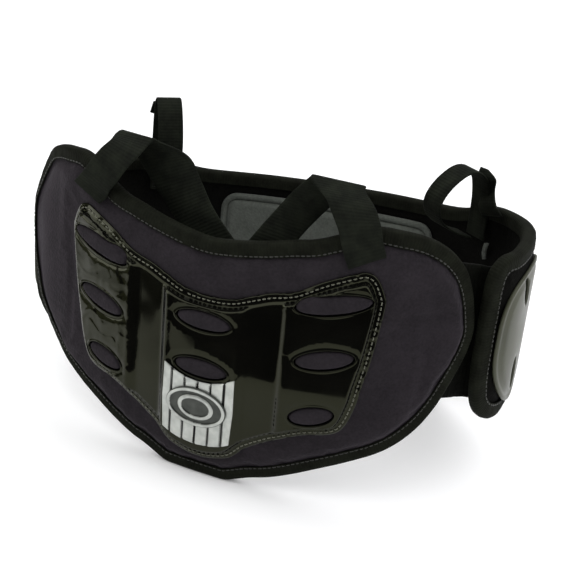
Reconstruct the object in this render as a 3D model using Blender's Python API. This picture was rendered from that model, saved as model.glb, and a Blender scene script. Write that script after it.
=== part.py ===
"""Rib protector: a padded belt with a front armour plate, worn round the lower ribs.

Lengths are in metres, +Z is up, the wearer faces -Y and the viewer's right is +X.
Every soft piece is laid on one upright wall whose plan is a rounded oval. A point of the wall
is given by three numbers: along (arc length from the middle of the front, positive towards +X),
height above the floor, and out (distance outside the wall).
"""
import math

import bmesh
import bpy
from mathutils import Matrix, Vector

for leftover in list(bpy.data.objects):
    bpy.data.objects.remove(leftover, do_unlink=True)

# Plan of the wall
HALF_WIDTH = 0.180
FRONT_DEPTH = 0.0997
BACK_DEPTH = 0.1248
FRONT_ROUNDNESS = 2.14
BACK_ROUNDNESS = 2.48
PLAN_STEPS = 2880

# Heights and reaches of the pieces
FRONT_HEIGHT = 0.207
FRONT_REACH = 0.186
PLATE_REACH = 0.1155
PLATE_SHIFT = 0.0045
PLATE_BOTTOM = 0.0187
PLATE_HEIGHT = 0.1605
BACK_HEIGHT = 0.1745
BACK_RISE = 0.070
BACK_RISE_GAIN = 0.45
LEFT_RISE_GAIN = -0.15
BACK_LEVEL_HEIGHT = 0.074
BACK_REACH = 0.290
CENTRE_SHIFT = 0.0061
FLARE_START = 0.112
FLARE_WIDTH = 0.048
FLARE_BOTTOM = 0.046
FLARE_TOP = 0.145
LEFT_LIFT = 0.0045
LIFT_START = 0.070
LIFT_WIDTH = 0.040
LIFT_HEIGHT = 0.170
LIFT_SLOPE = 0.030

# Thicknesses
EDGE_THICKNESS = 0.0062
PAD_CROWN = 0.0056
WING_CROWN = 0.0026
LIP_THICKNESS = 0.0012
LIP_WIDTH = 0.0100
GAP = 0.0003
TAPE_GAP = 0.0006
SAG_ROOM = 0.0003
TAPE_INSIDE = EDGE_THICKNESS + TAPE_GAP + LIP_THICKNESS
TAPE_OUTSIDE = TAPE_GAP + LIP_THICKNESS
PAD_SLOPE_START = 0.0115
PAD_SLOPE_END = 0.0170
WING_OUT = 0.0062
WING_START = 0.266
WING_END = 0.326
BAND_THICKNESS = 0.0030
PLATE_FLANGE = 0.0016
PLATE_COLUMN = 0.0062
PLATE_STRIP = 0.0030
FLANGE_WIDTH = 0.0050
FLANGE_SLOPE = 0.0035
WEBBING_THICKNESS = 0.0016
STRAP_ROOM = 0.0009
LINING_THICKNESS = 0.0036
LINING_EDGE = 0.0018

# Straps and loops
STRAP_REACH = 0.1165
STRAP_LIFT = 0.0074
LOOP_REACH = 0.335
LOOP_HEIGHT = 0.086
LOOP_BULGE = 0.046
LOOP_BOTTOM = 0.140
LOOP_WIDTH = 0.020
LOOP_ROOM = 0.0011

# Side bands, wing plates and lining
BAND_FRONT = 0.146
BAND_BACK = 0.262
BAND_STEP = 0.188
BAND_STEP_WIDTH = 0.018
BAND_BOTTOM = 0.0720
BAND_TAPER = 0.012
BAND_TOP_RIGHT = 0.1830
BAND_TOP_LEFT = 0.1560
WING_PLATE_CENTRE = 0.240
WING_PLATE_MIDDLE = 0.1070
WING_PLATE_WIDTH = 0.084
WING_PLATE_HEIGHT = 0.106
WING_PLATE_THICKNESS = 0.0024
WING_PLATE_EDGE = 0.0012
WING_PLATE_SLOPE = 0.004
LINING_REACH = 0.096
LINING_BOTTOM = 0.046
LINING_TOP = 0.1400
LINING_CORNER = 0.016
LINING_SLOPE = 0.006

# Ovals of the plate and the badge
OVAL_HEIGHT = 0.0145
CUTTER_START = -0.004
CUTTER_END = 0.024
BADGE_THICKNESS = 0.0012
BOSS_WIDTH = 0.0440
BOSS_HEIGHT = 0.0290
BOSS_THICKNESS = 0.0016

# Spacing of the facets
OUTLINE_STEP = 0.0122
COLUMN_STEP = 0.0120
ROW_STEP = 0.0400
MERGE_DISTANCE = 0.0013
PLATE_COLUMN_STEP = 0.0132
RIDGE_ROOM = 0.004
BADGE_COLUMN_STEP = 0.0085
RIM_WIDTH = 0.002
CORNER_STEPS = 4
WING_PLATE_SIDES = 32
OVAL_SIDES = 20
STRAP_SAMPLES = 5

# Outline tables, one half each: share of the reach along, share of the height
FRONT_OUTLINE = (
    # along, height
    (0.000, 0.867),
    (0.091, 0.876),
    (0.199, 0.894),
    (0.301, 0.916),
    (0.382, 0.931),
    (0.462, 0.959),
    (0.530, 0.985),
    (0.600, 1.000),
    (0.672, 0.994),
    (0.750, 0.982),
    (0.820, 0.958),
    (0.880, 0.920),
    (0.931, 0.866),
    (0.967, 0.795),
    (0.990, 0.716),
    (1.000, 0.655),
    (0.990, 0.595),
    (0.968, 0.540),
    (0.933, 0.470),
    (0.890, 0.392),
    (0.835, 0.318),
    (0.765, 0.255),
    (0.690, 0.210),
    (0.580, 0.165),
    (0.480, 0.126),
    (0.380, 0.085),
    (0.300, 0.056),
    (0.225, 0.036),
    (0.165, 0.014),
    (0.118, 0.000),
    (0.000, 0.000),
)
PLATE_OUTLINE = (
    # along, height
    (0.000, 0.770),
    (0.144, 0.779),
    (0.260, 0.812),
    (0.368, 0.844),
    (0.508, 0.872),
    (0.658, 0.935),
    (0.815, 0.986),
    (0.883, 1.000),
    (0.943, 0.976),
    (0.991, 0.905),
    (0.998, 0.862),
    (0.980, 0.731),
    (0.955, 0.600),
    (0.926, 0.488),
    (0.903, 0.394),
    (0.857, 0.298),
    (0.788, 0.254),
    (0.628, 0.227),
    (0.496, 0.186),
    (0.418, 0.158),
    (0.303, 0.105),
    (0.205, 0.036),
    (0.085, 0.006),
    (0.000, 0.000),
)
BACK_OUTLINE = (
    # along from the back middle towards the wing, height before the rise
    (0.000, 0.884),
    (0.160, 0.884),
    (0.300, 0.884),
    (0.390, 0.892),
    (0.455, 0.918),
    (0.530, 0.952),
    (0.640, 0.958),
    (0.780, 0.958),
    (0.900, 0.962),
    (0.952, 0.968),
    (0.984, 0.938),
    (0.998, 0.880),
    (1.000, 0.760),
    (1.000, 0.560),
    (0.995, 0.430),
    (0.980, 0.346),
    (0.945, 0.293),
    (0.890, 0.263),
    (0.815, 0.248),
    (0.680, 0.218),
    (0.560, 0.172),
    (0.450, 0.085),
    (0.360, 0.022),
    (0.290, 0.000),
    (0.000, 0.000),
)

# Ovals: centre share along, centre share of height, width share of the reach, tilt in degrees
PLATE_OVALS = (
    # along, height, width, tilt
    (0.000, 0.665, 0.346, 0.0),
    (0.000, 0.443, 0.338, 0.0),
    (0.727, 0.853, 0.428, 14.0),
    (0.708, 0.604, 0.338, 14.0),
    (0.668, 0.338, 0.264, 16.0),
)
# Level of the plate across its width: share of the reach, column share of the raised height
PLATE_RELIEF = (
    # along, raised
    (0.000, 1.0),
    (0.237, 1.0),
    (0.273, 0.0),
    (0.448, 0.0),
    (0.482, 1.0),
    (1.000, 1.0),
)
BADGE_OUTLINE = (
    # along, height
    (0.000, 0.385),
    (0.074, 0.390),
    (0.143, 0.405),
    (0.222, 0.434),
    (0.226, 0.270),
    (0.215, 0.121),
    (0.169, 0.103),
    (0.100, 0.088),
    (0.000, 0.080),
)
BOSS_CENTRE = (0.000, 0.266)

# The straps' front legs: along as a share of STRAP_REACH, height of FRONT_HEIGHT and out of
# STRAP_LIFT. The out of the sewn rows counts from the panel's face, the others from the wall.
SEWN_ROWS = 1
RIGHT_LEG = (
    # outer along, height, out, inner along, height, out
    (1.0000, 0.9251, 0.0000, 0.8112, 0.8720, 0.0000),
    (0.9854, 0.9493, 0.8649, 0.7880, 0.9014, 1.0000),
    (0.9700, 0.9758, 0.8378, 0.7639, 0.9348, 0.8378),
    (0.9571, 1.0097, 0.6081, 0.7339, 0.9855, 0.6081),
    (0.9356, 1.0362, -0.0676, 0.6781, 1.0362, -0.0676),
    (0.9099, 1.0580, -0.8108, 0.6352, 1.0652, -0.7432),
)
LEFT_LEG = (
    # outer along, height, out, inner along, height, out
    (0.9528, 0.9251, 0.0000, 0.7253, 0.8841, 0.0000),
    (0.9185, 0.9469, 0.9000, 0.6918, 0.9063, 0.6216),
    (0.8755, 0.9758, 0.8378, 0.6567, 0.9372, 0.8378),
    (0.8240, 1.0217, 0.6081, 0.6009, 0.9855, 0.6081),
    (0.7940, 1.0580, -0.0676, 0.5622, 1.0290, 0.1351),
    (0.7811, 1.0797, -0.9459, 0.5322, 1.0652, -0.8108),
)
# Fold and arms of the straps: shares of HALF_WIDTH, FRONT_DEPTH and FRONT_HEIGHT
STRAP_FOLD = (
    # outer x, y, z, inner x, y, z
    (0.5111, -0.6921, 1.0821, 0.3250, -0.7924, 1.0966),
    (0.5056, -0.6620, 1.0894, 0.3167, -0.7623, 1.1063),
    (0.4944, -0.6369, 1.0821, 0.3056, -0.7322, 1.0966),
)
RIGHT_ARM = (
    # outer x, y, z, inner x, y, z
    (0.4056, -0.6720, 1.0242, 0.2500, -0.7673, 1.0386),
    (0.3278, -0.7322, 0.9372, 0.1944, -0.8124, 0.9662),
    (0.2833, -0.8175, 0.8696, 0.1417, -0.8626, 0.8937),
    (0.2444, -0.8576, 0.8019, 0.0944, -0.8826, 0.8261),
)
LEFT_ARM = (
    # outer x, y, z, inner x, y, z
    (-0.4000, -0.6520, 0.9903, -0.1833, -0.7222, 1.0700),
    (-0.3000, -0.7021, 0.9082, -0.1056, -0.7823, 1.0048),
    (-0.1833, -0.7924, 0.8406, -0.0333, -0.8325, 0.9324),
    (-0.0833, -0.8646, 0.7826, 0.0722, -0.8676, 0.8502),
)

# Loops of webbing: shares of LOOP_REACH, LOOP_HEIGHT and LOOP_BULGE
LOOPS = (
    # name, along, height, bulge
    ("loop_right", 1.0000, 0.6512, 1.0000),
    ("loop_left", -0.9760, 0.9500, 0.6520),
)
# One loop seen from its edge: share of its bulge, share of its height
LOOP_PATH = (
    # inward, height
    (0.000, 0.00),
    (0.000, 0.36),
    (0.020, 0.60),
    (0.100, 0.84),
    (0.300, 0.98),
    (0.560, 0.96),
    (0.860, 0.78),
    (1.000, 0.56),
    (0.900, 0.34),
    (0.560, 0.16),
    (0.240, 0.06),
)


def plan_table():
    """Arc length, x and y round the plan, from the middle of the front towards +X."""
    rows = []
    length = 0.0
    last = None
    for step in range(PLAN_STEPS + 1):
        turn = -math.pi / 2 + 2 * math.pi * step / PLAN_STEPS
        cosine = math.cos(turn)
        sine = math.sin(turn)
        front = sine < 0
        roundness = FRONT_ROUNDNESS if front else BACK_ROUNDNESS
        depth = FRONT_DEPTH if front else BACK_DEPTH
        x = HALF_WIDTH * math.copysign(abs(cosine) ** (2 / roundness), cosine)
        y = depth * math.copysign(abs(sine) ** (2 / roundness), sine) - CENTRE_SHIFT
        if last is not None:
            length += math.hypot(x - last[0], y - last[1])
        rows.append((length, x, y))
        last = (x, y)
    return rows


PLAN = plan_table()
PERIMETER = PLAN[-1][0]
HALF_ROUND = PERIMETER / 2


def plan_point(along):
    """x and y of the plan at an arc length, by bisection in the table."""
    target = along % PERIMETER
    low = 0
    high = PLAN_STEPS
    while high - low > 1:
        middle = (low + high) // 2
        if PLAN[middle][0] <= target:
            low = middle
        else:
            high = middle
    span = PLAN[high][0] - PLAN[low][0]
    share = (target - PLAN[low][0]) / span
    x = PLAN[low][1] + share * (PLAN[high][1] - PLAN[low][1])
    y = PLAN[low][2] + share * (PLAN[high][2] - PLAN[low][2])
    return x, y


def wall_axes(along):
    """Unit tangent (growing along) and outward normal of the wall."""
    reach = 0.002
    x0, y0 = plan_point(along - reach)
    x1, y1 = plan_point(along + reach)
    tangent = Vector((x1 - x0, y1 - y0, 0.0)).normalized()
    return tangent, Vector((tangent.y, -tangent.x, 0.0))


def wall_point(along, height, out):
    """Point of the wall, moved outward by out."""
    x, y = plan_point(along)
    normal = wall_axes(along)[1]
    return Vector((x, y, height)) + out * normal


def smooth(share):
    """Ease from 0 to 1."""
    share = min(max(share, 0.0), 1.0)
    return share * share * (3 - 2 * share)


def curve_points(table, reach, height, bottom, step):
    """One half outline as points about a step apart, on a smooth curve through the table."""
    knots = [Vector((along * reach, bottom + up * height)) for along, up in table]
    points = [knots[0]]
    for index in range(len(knots) - 1):
        before = knots[index - 1] if index else Vector((-knots[1].x, knots[1].y))
        start = knots[index]
        end = knots[index + 1]
        last = index + 2 >= len(knots)
        after = Vector((-start.x, start.y)) if last else knots[index + 2]
        pieces = max(1, round((end - start).length / step))
        level = abs(end.y - start.y) < 1e-9
        for piece in range(1, pieces + 1):
            t = piece / pieces
            if level:
                points.append(start.lerp(end, t))
                continue
            point = 0.5 * (2 * start + (end - before) * t)
            point += 0.5 * (2 * before - 5 * start + 4 * end - after) * t ** 2
            point += 0.5 * (3 * start - 3 * end + after - before) * t ** 3
            points.append(point)
    return points


def even_points(points, step):
    """The same line with points an even distance apart."""
    lengths = [0.0]
    for first, second in zip(points, points[1:]):
        lengths.append(lengths[-1] + (second - first).length)
    count = max(2, round(lengths[-1] / step))
    result = [points[0]]
    index = 0
    for number in range(1, count):
        target = lengths[-1] * number / count
        while lengths[index + 1] < target:
            index += 1
        share = (target - lengths[index]) / (lengths[index + 1] - lengths[index])
        result.append(points[index].lerp(points[index + 1], share))
    result.append(points[-1])
    return result


def whole_outline(half, centre):
    """Closed outline from one half: the half is mirrored at along = centre."""
    right = [Vector((centre + point.x, point.y)) for point in half]
    left = [Vector((centre - point.x, point.y)) for point in reversed(half[1:-1])]
    return right + left


def outline_distance(outline, point):
    """Distance from a flat point to the outline."""
    best = 1.0
    for index, start in enumerate(outline):
        edge = outline[index - 1] - start
        share = (point - start).dot(edge) / max(edge.length_squared, 1e-12)
        nearest = start + edge * min(max(share, 0.0), 1.0)
        best = min(best, (point - nearest).length)
    return best


def flat_sheet(outline, insets, columns, rows):
    """Flat mesh of an outline with inset rings, cut into columns and rows."""
    sheet = bmesh.new()
    corners = [sheet.verts.new((point.x, point.y, 0.0)) for point in outline]
    face = sheet.faces.new(corners)
    previous = 0.0
    for inset in insets:
        face.normal_update()
        bmesh.ops.inset_region(sheet, faces=[face], thickness=inset - previous, use_boundary=True,
                               use_even_offset=True)
        previous = inset
    for axis, places in ((Vector((1, 0, 0)), columns), (Vector((0, 1, 0)), rows)):
        for place in places:
            everything = sheet.verts[:] + sheet.edges[:] + sheet.faces[:]
            bmesh.ops.bisect_plane(sheet, geom=everything, plane_co=axis * place, plane_no=axis,
                                   dist=MERGE_DISTANCE)
    bmesh.ops.remove_doubles(sheet, verts=sheet.verts[:], dist=MERGE_DISTANCE)
    bmesh.ops.dissolve_degenerate(sheet, edges=sheet.edges[:], dist=MERGE_DISTANCE / 4)
    bmesh.ops.triangulate(sheet, faces=sheet.faces[:])
    return sheet


def spaced(low, high, step):
    """Values between low and high, about a step apart, without the ends."""
    count = max(1, round((high - low) / step))
    return [low + (high - low) * number / count for number in range(1, count)]


def finish_mesh(name, mesh_data, material):
    """Named object from a bmesh, faces pointing outward."""
    bmesh.ops.recalc_face_normals(mesh_data, faces=mesh_data.faces[:])
    if mesh_data.calc_volume(signed=True) < 0:
        bmesh.ops.reverse_faces(mesh_data, faces=mesh_data.faces[:])
    mesh = bpy.data.meshes.new(name)
    mesh_data.to_mesh(mesh)
    mesh_data.free()
    mesh.materials.append(material)
    thing = bpy.data.objects.new(name, mesh)
    bpy.context.scene.collection.objects.link(thing)
    return thing


def wrapped_slab(name, sheet, place, front, back, material):
    """Closed slab from a flat sheet. Place gives the point; front and back give its out."""
    solid = bmesh.new()
    sheet.verts.ensure_lookup_table()
    outer = {}
    inner = {}
    for vertex in sheet.verts:
        flat = Vector((vertex.co.x, vertex.co.y))
        outer[vertex] = solid.verts.new(place(flat, front(flat)))
        inner[vertex] = solid.verts.new(place(flat, back(flat)))
    for face in sheet.faces:
        solid.faces.new([outer[vertex] for vertex in face.verts])
        solid.faces.new([inner[vertex] for vertex in reversed(face.verts)])
    for edge in sheet.edges:
        if len(edge.link_faces) == 1:
            first, second = edge.verts
            solid.faces.new((outer[first], outer[second], inner[second], inner[first]))
    sheet.free()
    return finish_mesh(name, solid, material)


def edge_channel(name, outline, place, shift, material):
    """Tape folded round an outline: a channel section swept along it."""
    inside = EDGE_THICKNESS + TAPE_GAP
    section = (
        (0.0, TAPE_GAP + LIP_THICKNESS),
        (LIP_WIDTH, TAPE_GAP + LIP_THICKNESS),
        (LIP_WIDTH, TAPE_GAP),
        (LIP_THICKNESS, TAPE_GAP),
        (LIP_THICKNESS, -inside),
        (LIP_WIDTH, -inside),
        (LIP_WIDTH, -inside - LIP_THICKNESS),
        (0.0, -inside - LIP_THICKNESS),
    )
    solid = bmesh.new()
    rings = []
    count = len(outline)
    for index, point in enumerate(outline):
        before = (point - outline[index - 1]).normalized()
        after = (outline[(index + 1) % count] - point).normalized()
        inward = Vector((before.y + after.y, -before.x - after.x)).normalized()
        stretch = 1 / max(0.5, inward.dot(Vector((after.y, -after.x))))
        ring = []
        for depth, out in section:
            flat = point + inward * depth * stretch
            ring.append(solid.verts.new(place(flat, out + shift(flat))))
        rings.append(ring)
    for index, ring in enumerate(rings):
        other = rings[(index + 1) % count]
        for corner in range(len(section)):
            following = (corner + 1) % len(section)
            solid.faces.new((ring[corner], ring[following], other[following], other[corner]))
    bmesh.ops.triangulate(solid, faces=solid.faces[:])
    return finish_mesh(name, solid, material)


def ribbon(name, stations, thickness, material):
    """Webbing from pairs of edge points, one pair a station, with a flat rectangular section."""
    solid = bmesh.new()
    rings = []
    middles = [(first + second) / 2 for first, second in stations]
    for index, (first, second) in enumerate(stations):
        before = middles[max(index - 1, 0)]
        after = middles[min(index + 1, len(middles) - 1)]
        normal = (after - before).cross(second - first).normalized() * thickness / 2
        ring = [first + normal, second + normal, second - normal, first - normal]
        rings.append([solid.verts.new(corner) for corner in ring])
    for ring, other in zip(rings, rings[1:]):
        for corner in range(4):
            following = (corner + 1) % 4
            solid.faces.new((ring[corner], ring[following], other[following], other[corner]))
    solid.faces.new(rings[0])
    solid.faces.new(reversed(rings[-1]))
    bmesh.ops.triangulate(solid, faces=solid.faces[:])
    return finish_mesh(name, solid, material)


def plain_material(name, colour, roughness, metallic=0.0, coat=0.0):
    """Principled material from a linear colour."""
    material = bpy.data.materials.new(name)
    material.use_nodes = True
    shader = material.node_tree.nodes["Principled BSDF"]
    shader.inputs["Base Color"].default_value = (*colour, 1.0)
    shader.inputs["Roughness"].default_value = roughness
    shader.inputs["Metallic"].default_value = metallic
    shader.inputs["Coat Weight"].default_value = coat
    material.diffuse_color = (*colour, 1.0)
    return material


def band_step(along):
    """Share of the side bands' step outward, from behind the front panel to inside the wing."""
    return smooth((abs(along) - BAND_STEP) / BAND_STEP_WIDTH)


def left_flare(along, height):
    """How far the left end of the front half stands out, most at mid height."""
    if along > 0:
        return 0.0
    across = smooth((-along - FLARE_START) / FLARE_WIDTH) * (1 - band_step(along))
    upward = smooth((height - FLARE_BOTTOM) / FLARE_WIDTH)
    return WING_OUT * across * upward * (1 - smooth((height - FLARE_TOP) / FLARE_WIDTH))


def upright_place(flat, out):
    """Point of the front half: the flat point is (along, height)."""
    return wall_point(flat.x, flat.y, out + left_flare(flat.x, flat.y))


def back_rise(x, height):
    """Extra height of the rear half, nothing at its lower edge and growing towards the sides."""
    gain = BACK_RISE_GAIN if x > 0 else LEFT_RISE_GAIN
    growth = 1 + gain * (x / HALF_WIDTH) ** 2
    return BACK_RISE * x * growth * smooth(height / BACK_LEVEL_HEIGHT)


def back_place(flat, out):
    """Point of the rear half, whose upper edge rises towards +X."""
    x, y = plan_point(flat.x)
    normal = wall_axes(flat.x)[1]
    return Vector((x, y, flat.y + back_rise(x, flat.y))) + out * normal


def wing_shift(flat):
    """How far the rear half stands out of the wall: the wings lap over the side bands."""
    reach = min(flat.x, PERIMETER - flat.x)
    return WING_OUT * (1 - smooth((reach - WING_START) / (WING_END - WING_START)))


def pad_level(outline, crown):
    """Out of a padded face: level with the wall at the rim, crowned inside the tape."""
    def level(flat):
        distance = outline_distance(outline, flat)
        share = (distance - PAD_SLOPE_START) / (PAD_SLOPE_END - PAD_SLOPE_START)
        return crown * min(max(share, 0.0), 1.0)
    return level


def front_outline():
    """Closed outline of the front panel, (along, height) points."""
    half = curve_points(FRONT_OUTLINE, FRONT_REACH, FRONT_HEIGHT, 0.0, OUTLINE_STEP / 3)
    outline = whole_outline(even_points(half, OUTLINE_STEP), 0.0)
    for point in outline:
        upper = smooth((point.y - LIFT_HEIGHT) / LIFT_SLOPE)
        point.y += LEFT_LIFT * upper * smooth((-point.x - LIFT_START) / LIFT_WIDTH)
    return outline


def plate_outline():
    """Closed outline of the armour plate, (along, height) points."""
    half = curve_points(PLATE_OUTLINE, PLATE_REACH, PLATE_HEIGHT, PLATE_BOTTOM, OUTLINE_STEP / 3)
    return whole_outline(even_points(half, OUTLINE_STEP), PLATE_SHIFT)


def back_outline():
    """Closed outline of the rear half, whose height is the one before the rise."""
    half = curve_points(BACK_OUTLINE, BACK_REACH, BACK_HEIGHT, 0.0, OUTLINE_STEP / 3)
    return whole_outline(even_points(half, OUTLINE_STEP), HALF_ROUND)


def shrunk(outline, inset):
    """The outline moved inward by an inset."""
    sheet = bmesh.new()
    face = sheet.faces.new([sheet.verts.new((point.x, point.y, 0.0)) for point in outline])
    face.normal_update()
    bmesh.ops.inset_region(sheet, faces=[face], thickness=inset, use_boundary=True,
                           use_even_offset=True)
    result = [Vector((loop.vert.co.x, loop.vert.co.y)) for loop in face.loops]
    sheet.free()
    return result


def padded_panel(name, outline, place, shift, crown, material):
    """Foam-filled cloth panel whose rim sits in the edging tape."""
    rim = LIP_THICKNESS + GAP
    edge = shrunk(outline, rim)
    low = min(point.x for point in edge)
    high = max(point.x for point in edge)
    floor = min(point.y for point in edge)
    ceiling = max(point.y for point in edge)
    insets = (PAD_SLOPE_START - rim, PAD_SLOPE_END - rim)
    sheet = flat_sheet(edge, insets, spaced(low, high, COLUMN_STEP),
                       spaced(floor, ceiling, ROW_STEP))
    level = pad_level(outline, crown)
    return wrapped_slab(name, sheet, place, lambda flat: shift(flat) + level(flat),
                        lambda flat: shift(flat) - EDGE_THICKNESS, material)


def no_shift(flat):
    """The front half stays on the wall."""
    return 0.0


def plate_level(outline):
    """Out of the armour plate's front face."""
    base = PAD_CROWN + GAP

    def level(flat):
        share = abs(flat.x - PLATE_SHIFT) / PLATE_REACH
        raised = 1.0
        for (start, first), (end, second) in zip(PLATE_RELIEF, PLATE_RELIEF[1:]):
            if start <= share <= end:
                raised = first + (second - first) * (share - start) / (end - start)
        height = PLATE_STRIP + (PLATE_COLUMN - PLATE_STRIP) * raised
        inset = (outline_distance(outline, flat) - FLANGE_WIDTH) / FLANGE_SLOPE
        return base + PLATE_FLANGE + (height - PLATE_FLANGE) * min(max(inset, 0.0), 1.0)
    return level


def armour_plate(material, cutter_material):
    """Moulded plate with raised columns, cut through by the ovals."""
    outline = plate_outline()
    shares = [share for share, raised in PLATE_RELIEF[1:-1]]
    ridges = [PLATE_SHIFT + side * share * PLATE_REACH for share in shares for side in (1, -1)]
    columns = []
    for place in spaced(PLATE_SHIFT - PLATE_REACH, PLATE_SHIFT + PLATE_REACH, PLATE_COLUMN_STEP):
        if min(abs(place - ridge) for ridge in ridges) > RIDGE_ROOM:
            columns.append(place)
    sheet = flat_sheet(outline, (FLANGE_WIDTH, FLANGE_WIDTH + FLANGE_SLOPE), ridges + columns, [])
    plate = wrapped_slab("armour_plate", sheet, upright_place, plate_level(outline),
                         lambda flat: PAD_CROWN + GAP, material)
    for number, (along, up, width, tilt) in enumerate(PLATE_OVALS):
        for side, word in ((1, "right"), (-1, "left")):
            if side < 0 and along == 0:
                continue
            centre = Vector((PLATE_SHIFT + side * along * PLATE_REACH,
                             PLATE_BOTTOM + up * PLATE_HEIGHT))
            cutter = oval_prism(f"oval_cutter_{number}_{word}", centre, width * PLATE_REACH,
                                OVAL_HEIGHT, side * tilt, (CUTTER_START, CUTTER_END),
                                cutter_material)
            cutter.hide_render = True
            cutter.display_type = "WIRE"
            cut = plate.modifiers.new("Oval window", "BOOLEAN")
            cut.operation = "DIFFERENCE"
            cut.solver = "EXACT"
            cut.object = cutter
    return plate


def oval_prism(name, centre, width, height, tilt, outs, material):
    """Oval prism laid on the front wall, between two distances out."""
    turn = Matrix.Rotation(math.radians(tilt), 2)
    solid = bmesh.new()
    rings = []
    for out in outs:
        ring = []
        for index in range(OVAL_SIDES):
            angle = 2 * math.pi * index / OVAL_SIDES
            spoke = Vector((math.cos(angle) * width / 2, math.sin(angle) * height / 2))
            ring.append(solid.verts.new(upright_place(centre + turn @ spoke, out)))
        rings.append(ring)
    low, high = rings
    for index in range(OVAL_SIDES):
        following = (index + 1) % OVAL_SIDES
        solid.faces.new((low[index], low[following], high[following], high[index]))
    solid.faces.new(rings[0])
    solid.faces.new(rings[1])
    bmesh.ops.triangulate(solid, faces=solid.faces[:])
    return finish_mesh(name, solid, material)


def strap(side, leg, arm, name, outline, material):
    """Strap sewn to the front face, folded over at the top and led down inside."""
    level = pad_level(outline, PAD_CROWN)
    stations = []
    for index, row in enumerate(leg):
        outer = Vector((side * row[0] * STRAP_REACH, row[1] * FRONT_HEIGHT))
        inner = Vector((side * row[3] * STRAP_REACH, row[4] * FRONT_HEIGHT))
        seat = 0.0
        if index < SEWN_ROWS:
            shares = [number / (STRAP_SAMPLES - 1) for number in range(STRAP_SAMPLES)]
            under = max(level(outer.lerp(inner, share)) for share in shares)
            seat = max(under, TAPE_OUTSIDE) + STRAP_ROOM + WEBBING_THICKNESS / 2
        stations.append((wall_point(outer.x, outer.y, seat + row[2] * STRAP_LIFT),
                         wall_point(inner.x, inner.y, seat + row[5] * STRAP_LIFT)))
    for row in STRAP_FOLD:
        stations.append((strap_corner(side, row[:3]), strap_corner(side, row[3:])))
    for row in arm:
        stations.append((strap_corner(1, row[:3]), strap_corner(1, row[3:])))
    return ribbon(name, stations, WEBBING_THICKNESS, material)


def strap_corner(side, shares):
    """Point of a strap's fold or arm from its three shares."""
    x, y, z = shares
    return Vector((side * x * HALF_WIDTH, y * FRONT_DEPTH - CENTRE_SHIFT, z * FRONT_HEIGHT))


def loop(name, along_share, height_share, bulge_share, material):
    """Small webbing loop sewn inside the wing."""
    along = along_share * LOOP_REACH
    height = height_share * LOOP_HEIGHT
    bulge = bulge_share * LOOP_BULGE
    tangent, normal = wall_axes(along)
    x, y = plan_point(along)
    inset = TAPE_INSIDE + LOOP_ROOM + WEBBING_THICKNESS / 2
    start = Vector((x, y, LOOP_BOTTOM + back_rise(x, LOOP_BOTTOM))) - normal * inset
    stations = []
    for inward, up in LOOP_PATH:
        middle = start - normal * (inward * bulge)
        middle.z += up * height
        stations.append((middle - tangent * LOOP_WIDTH / 2, middle + tangent * LOOP_WIDTH / 2))
    return ribbon(name, stations, WEBBING_THICKNESS, material)


def side_band(side, top, name, material):
    """Thin band from behind the front panel to inside the wing."""
    behind = -TAPE_INSIDE - GAP - SAG_ROOM
    within = WING_OUT - TAPE_INSIDE - GAP - SAG_ROOM
    corners = ((BAND_FRONT, BAND_BOTTOM + BAND_TAPER), (BAND_FRONT, top + BAND_TAPER / 2),
               (BAND_BACK, top), (BAND_BACK, BAND_BOTTOM))
    outline = [Vector((side * along, height)) for along, height in corners]
    columns = [side * place for place in spaced(BAND_FRONT, BAND_BACK, COLUMN_STEP)]
    sheet = flat_sheet(outline, (), columns, spaced(BAND_BOTTOM, top, ROW_STEP))

    def front(flat):
        return behind + (within - behind) * band_step(flat.x)

    return wrapped_slab(name, sheet, upright_place, front,
                        lambda flat: front(flat) - BAND_THICKNESS, material)


def wing_plate(side, name, material):
    """Grey moulded oval plate on the wing's outer face."""
    base = WING_OUT + WING_CROWN + GAP
    centre = Vector(((side * WING_PLATE_CENTRE) % PERIMETER, WING_PLATE_MIDDLE))
    outline = []
    for index in range(WING_PLATE_SIDES):
        angle = 2 * math.pi * index / WING_PLATE_SIDES
        outline.append(centre + Vector((math.cos(angle) * WING_PLATE_WIDTH / 2,
                                        math.sin(angle) * WING_PLATE_HEIGHT / 2)))
    low = centre.x - WING_PLATE_WIDTH / 2
    high = centre.x + WING_PLATE_WIDTH / 2
    sheet = flat_sheet(outline, (WING_PLATE_SLOPE,), spaced(low, high, COLUMN_STEP), [])

    def front(flat):
        rim = outline_distance(outline, flat) < RIM_WIDTH
        return base + (WING_PLATE_EDGE if rim else WING_PLATE_THICKNESS)

    return wrapped_slab(name, sheet, back_place, front, lambda flat: base, material)


def back_lining(material):
    """Grey inner pad of the back."""
    back = -EDGE_THICKNESS - GAP
    low = HALF_ROUND - LINING_REACH
    high = HALF_ROUND + LINING_REACH
    outline = []
    corners = ((high, LINING_TOP), (low, LINING_TOP), (low, LINING_BOTTOM), (high, LINING_BOTTOM))
    for turn, (along, height) in enumerate(corners):
        inward = Vector((math.copysign(LINING_CORNER, HALF_ROUND - along),
                         math.copysign(LINING_CORNER, LINING_TOP + LINING_BOTTOM - 2 * height)))
        middle = Vector((along, height)) + inward
        for step in range(CORNER_STEPS + 1):
            angle = math.radians(90 * (turn + step / CORNER_STEPS))
            outline.append(middle + LINING_CORNER * Vector((math.cos(angle), math.sin(angle))))
    sheet = flat_sheet(outline, (LINING_SLOPE,), spaced(low, high, COLUMN_STEP), [])

    def front(flat):
        rim = outline_distance(outline, flat) < RIM_WIDTH
        return back - (LINING_EDGE if rim else LINING_THICKNESS)

    return wrapped_slab("back_lining", sheet, back_place, lambda flat: back, front, material)


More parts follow.
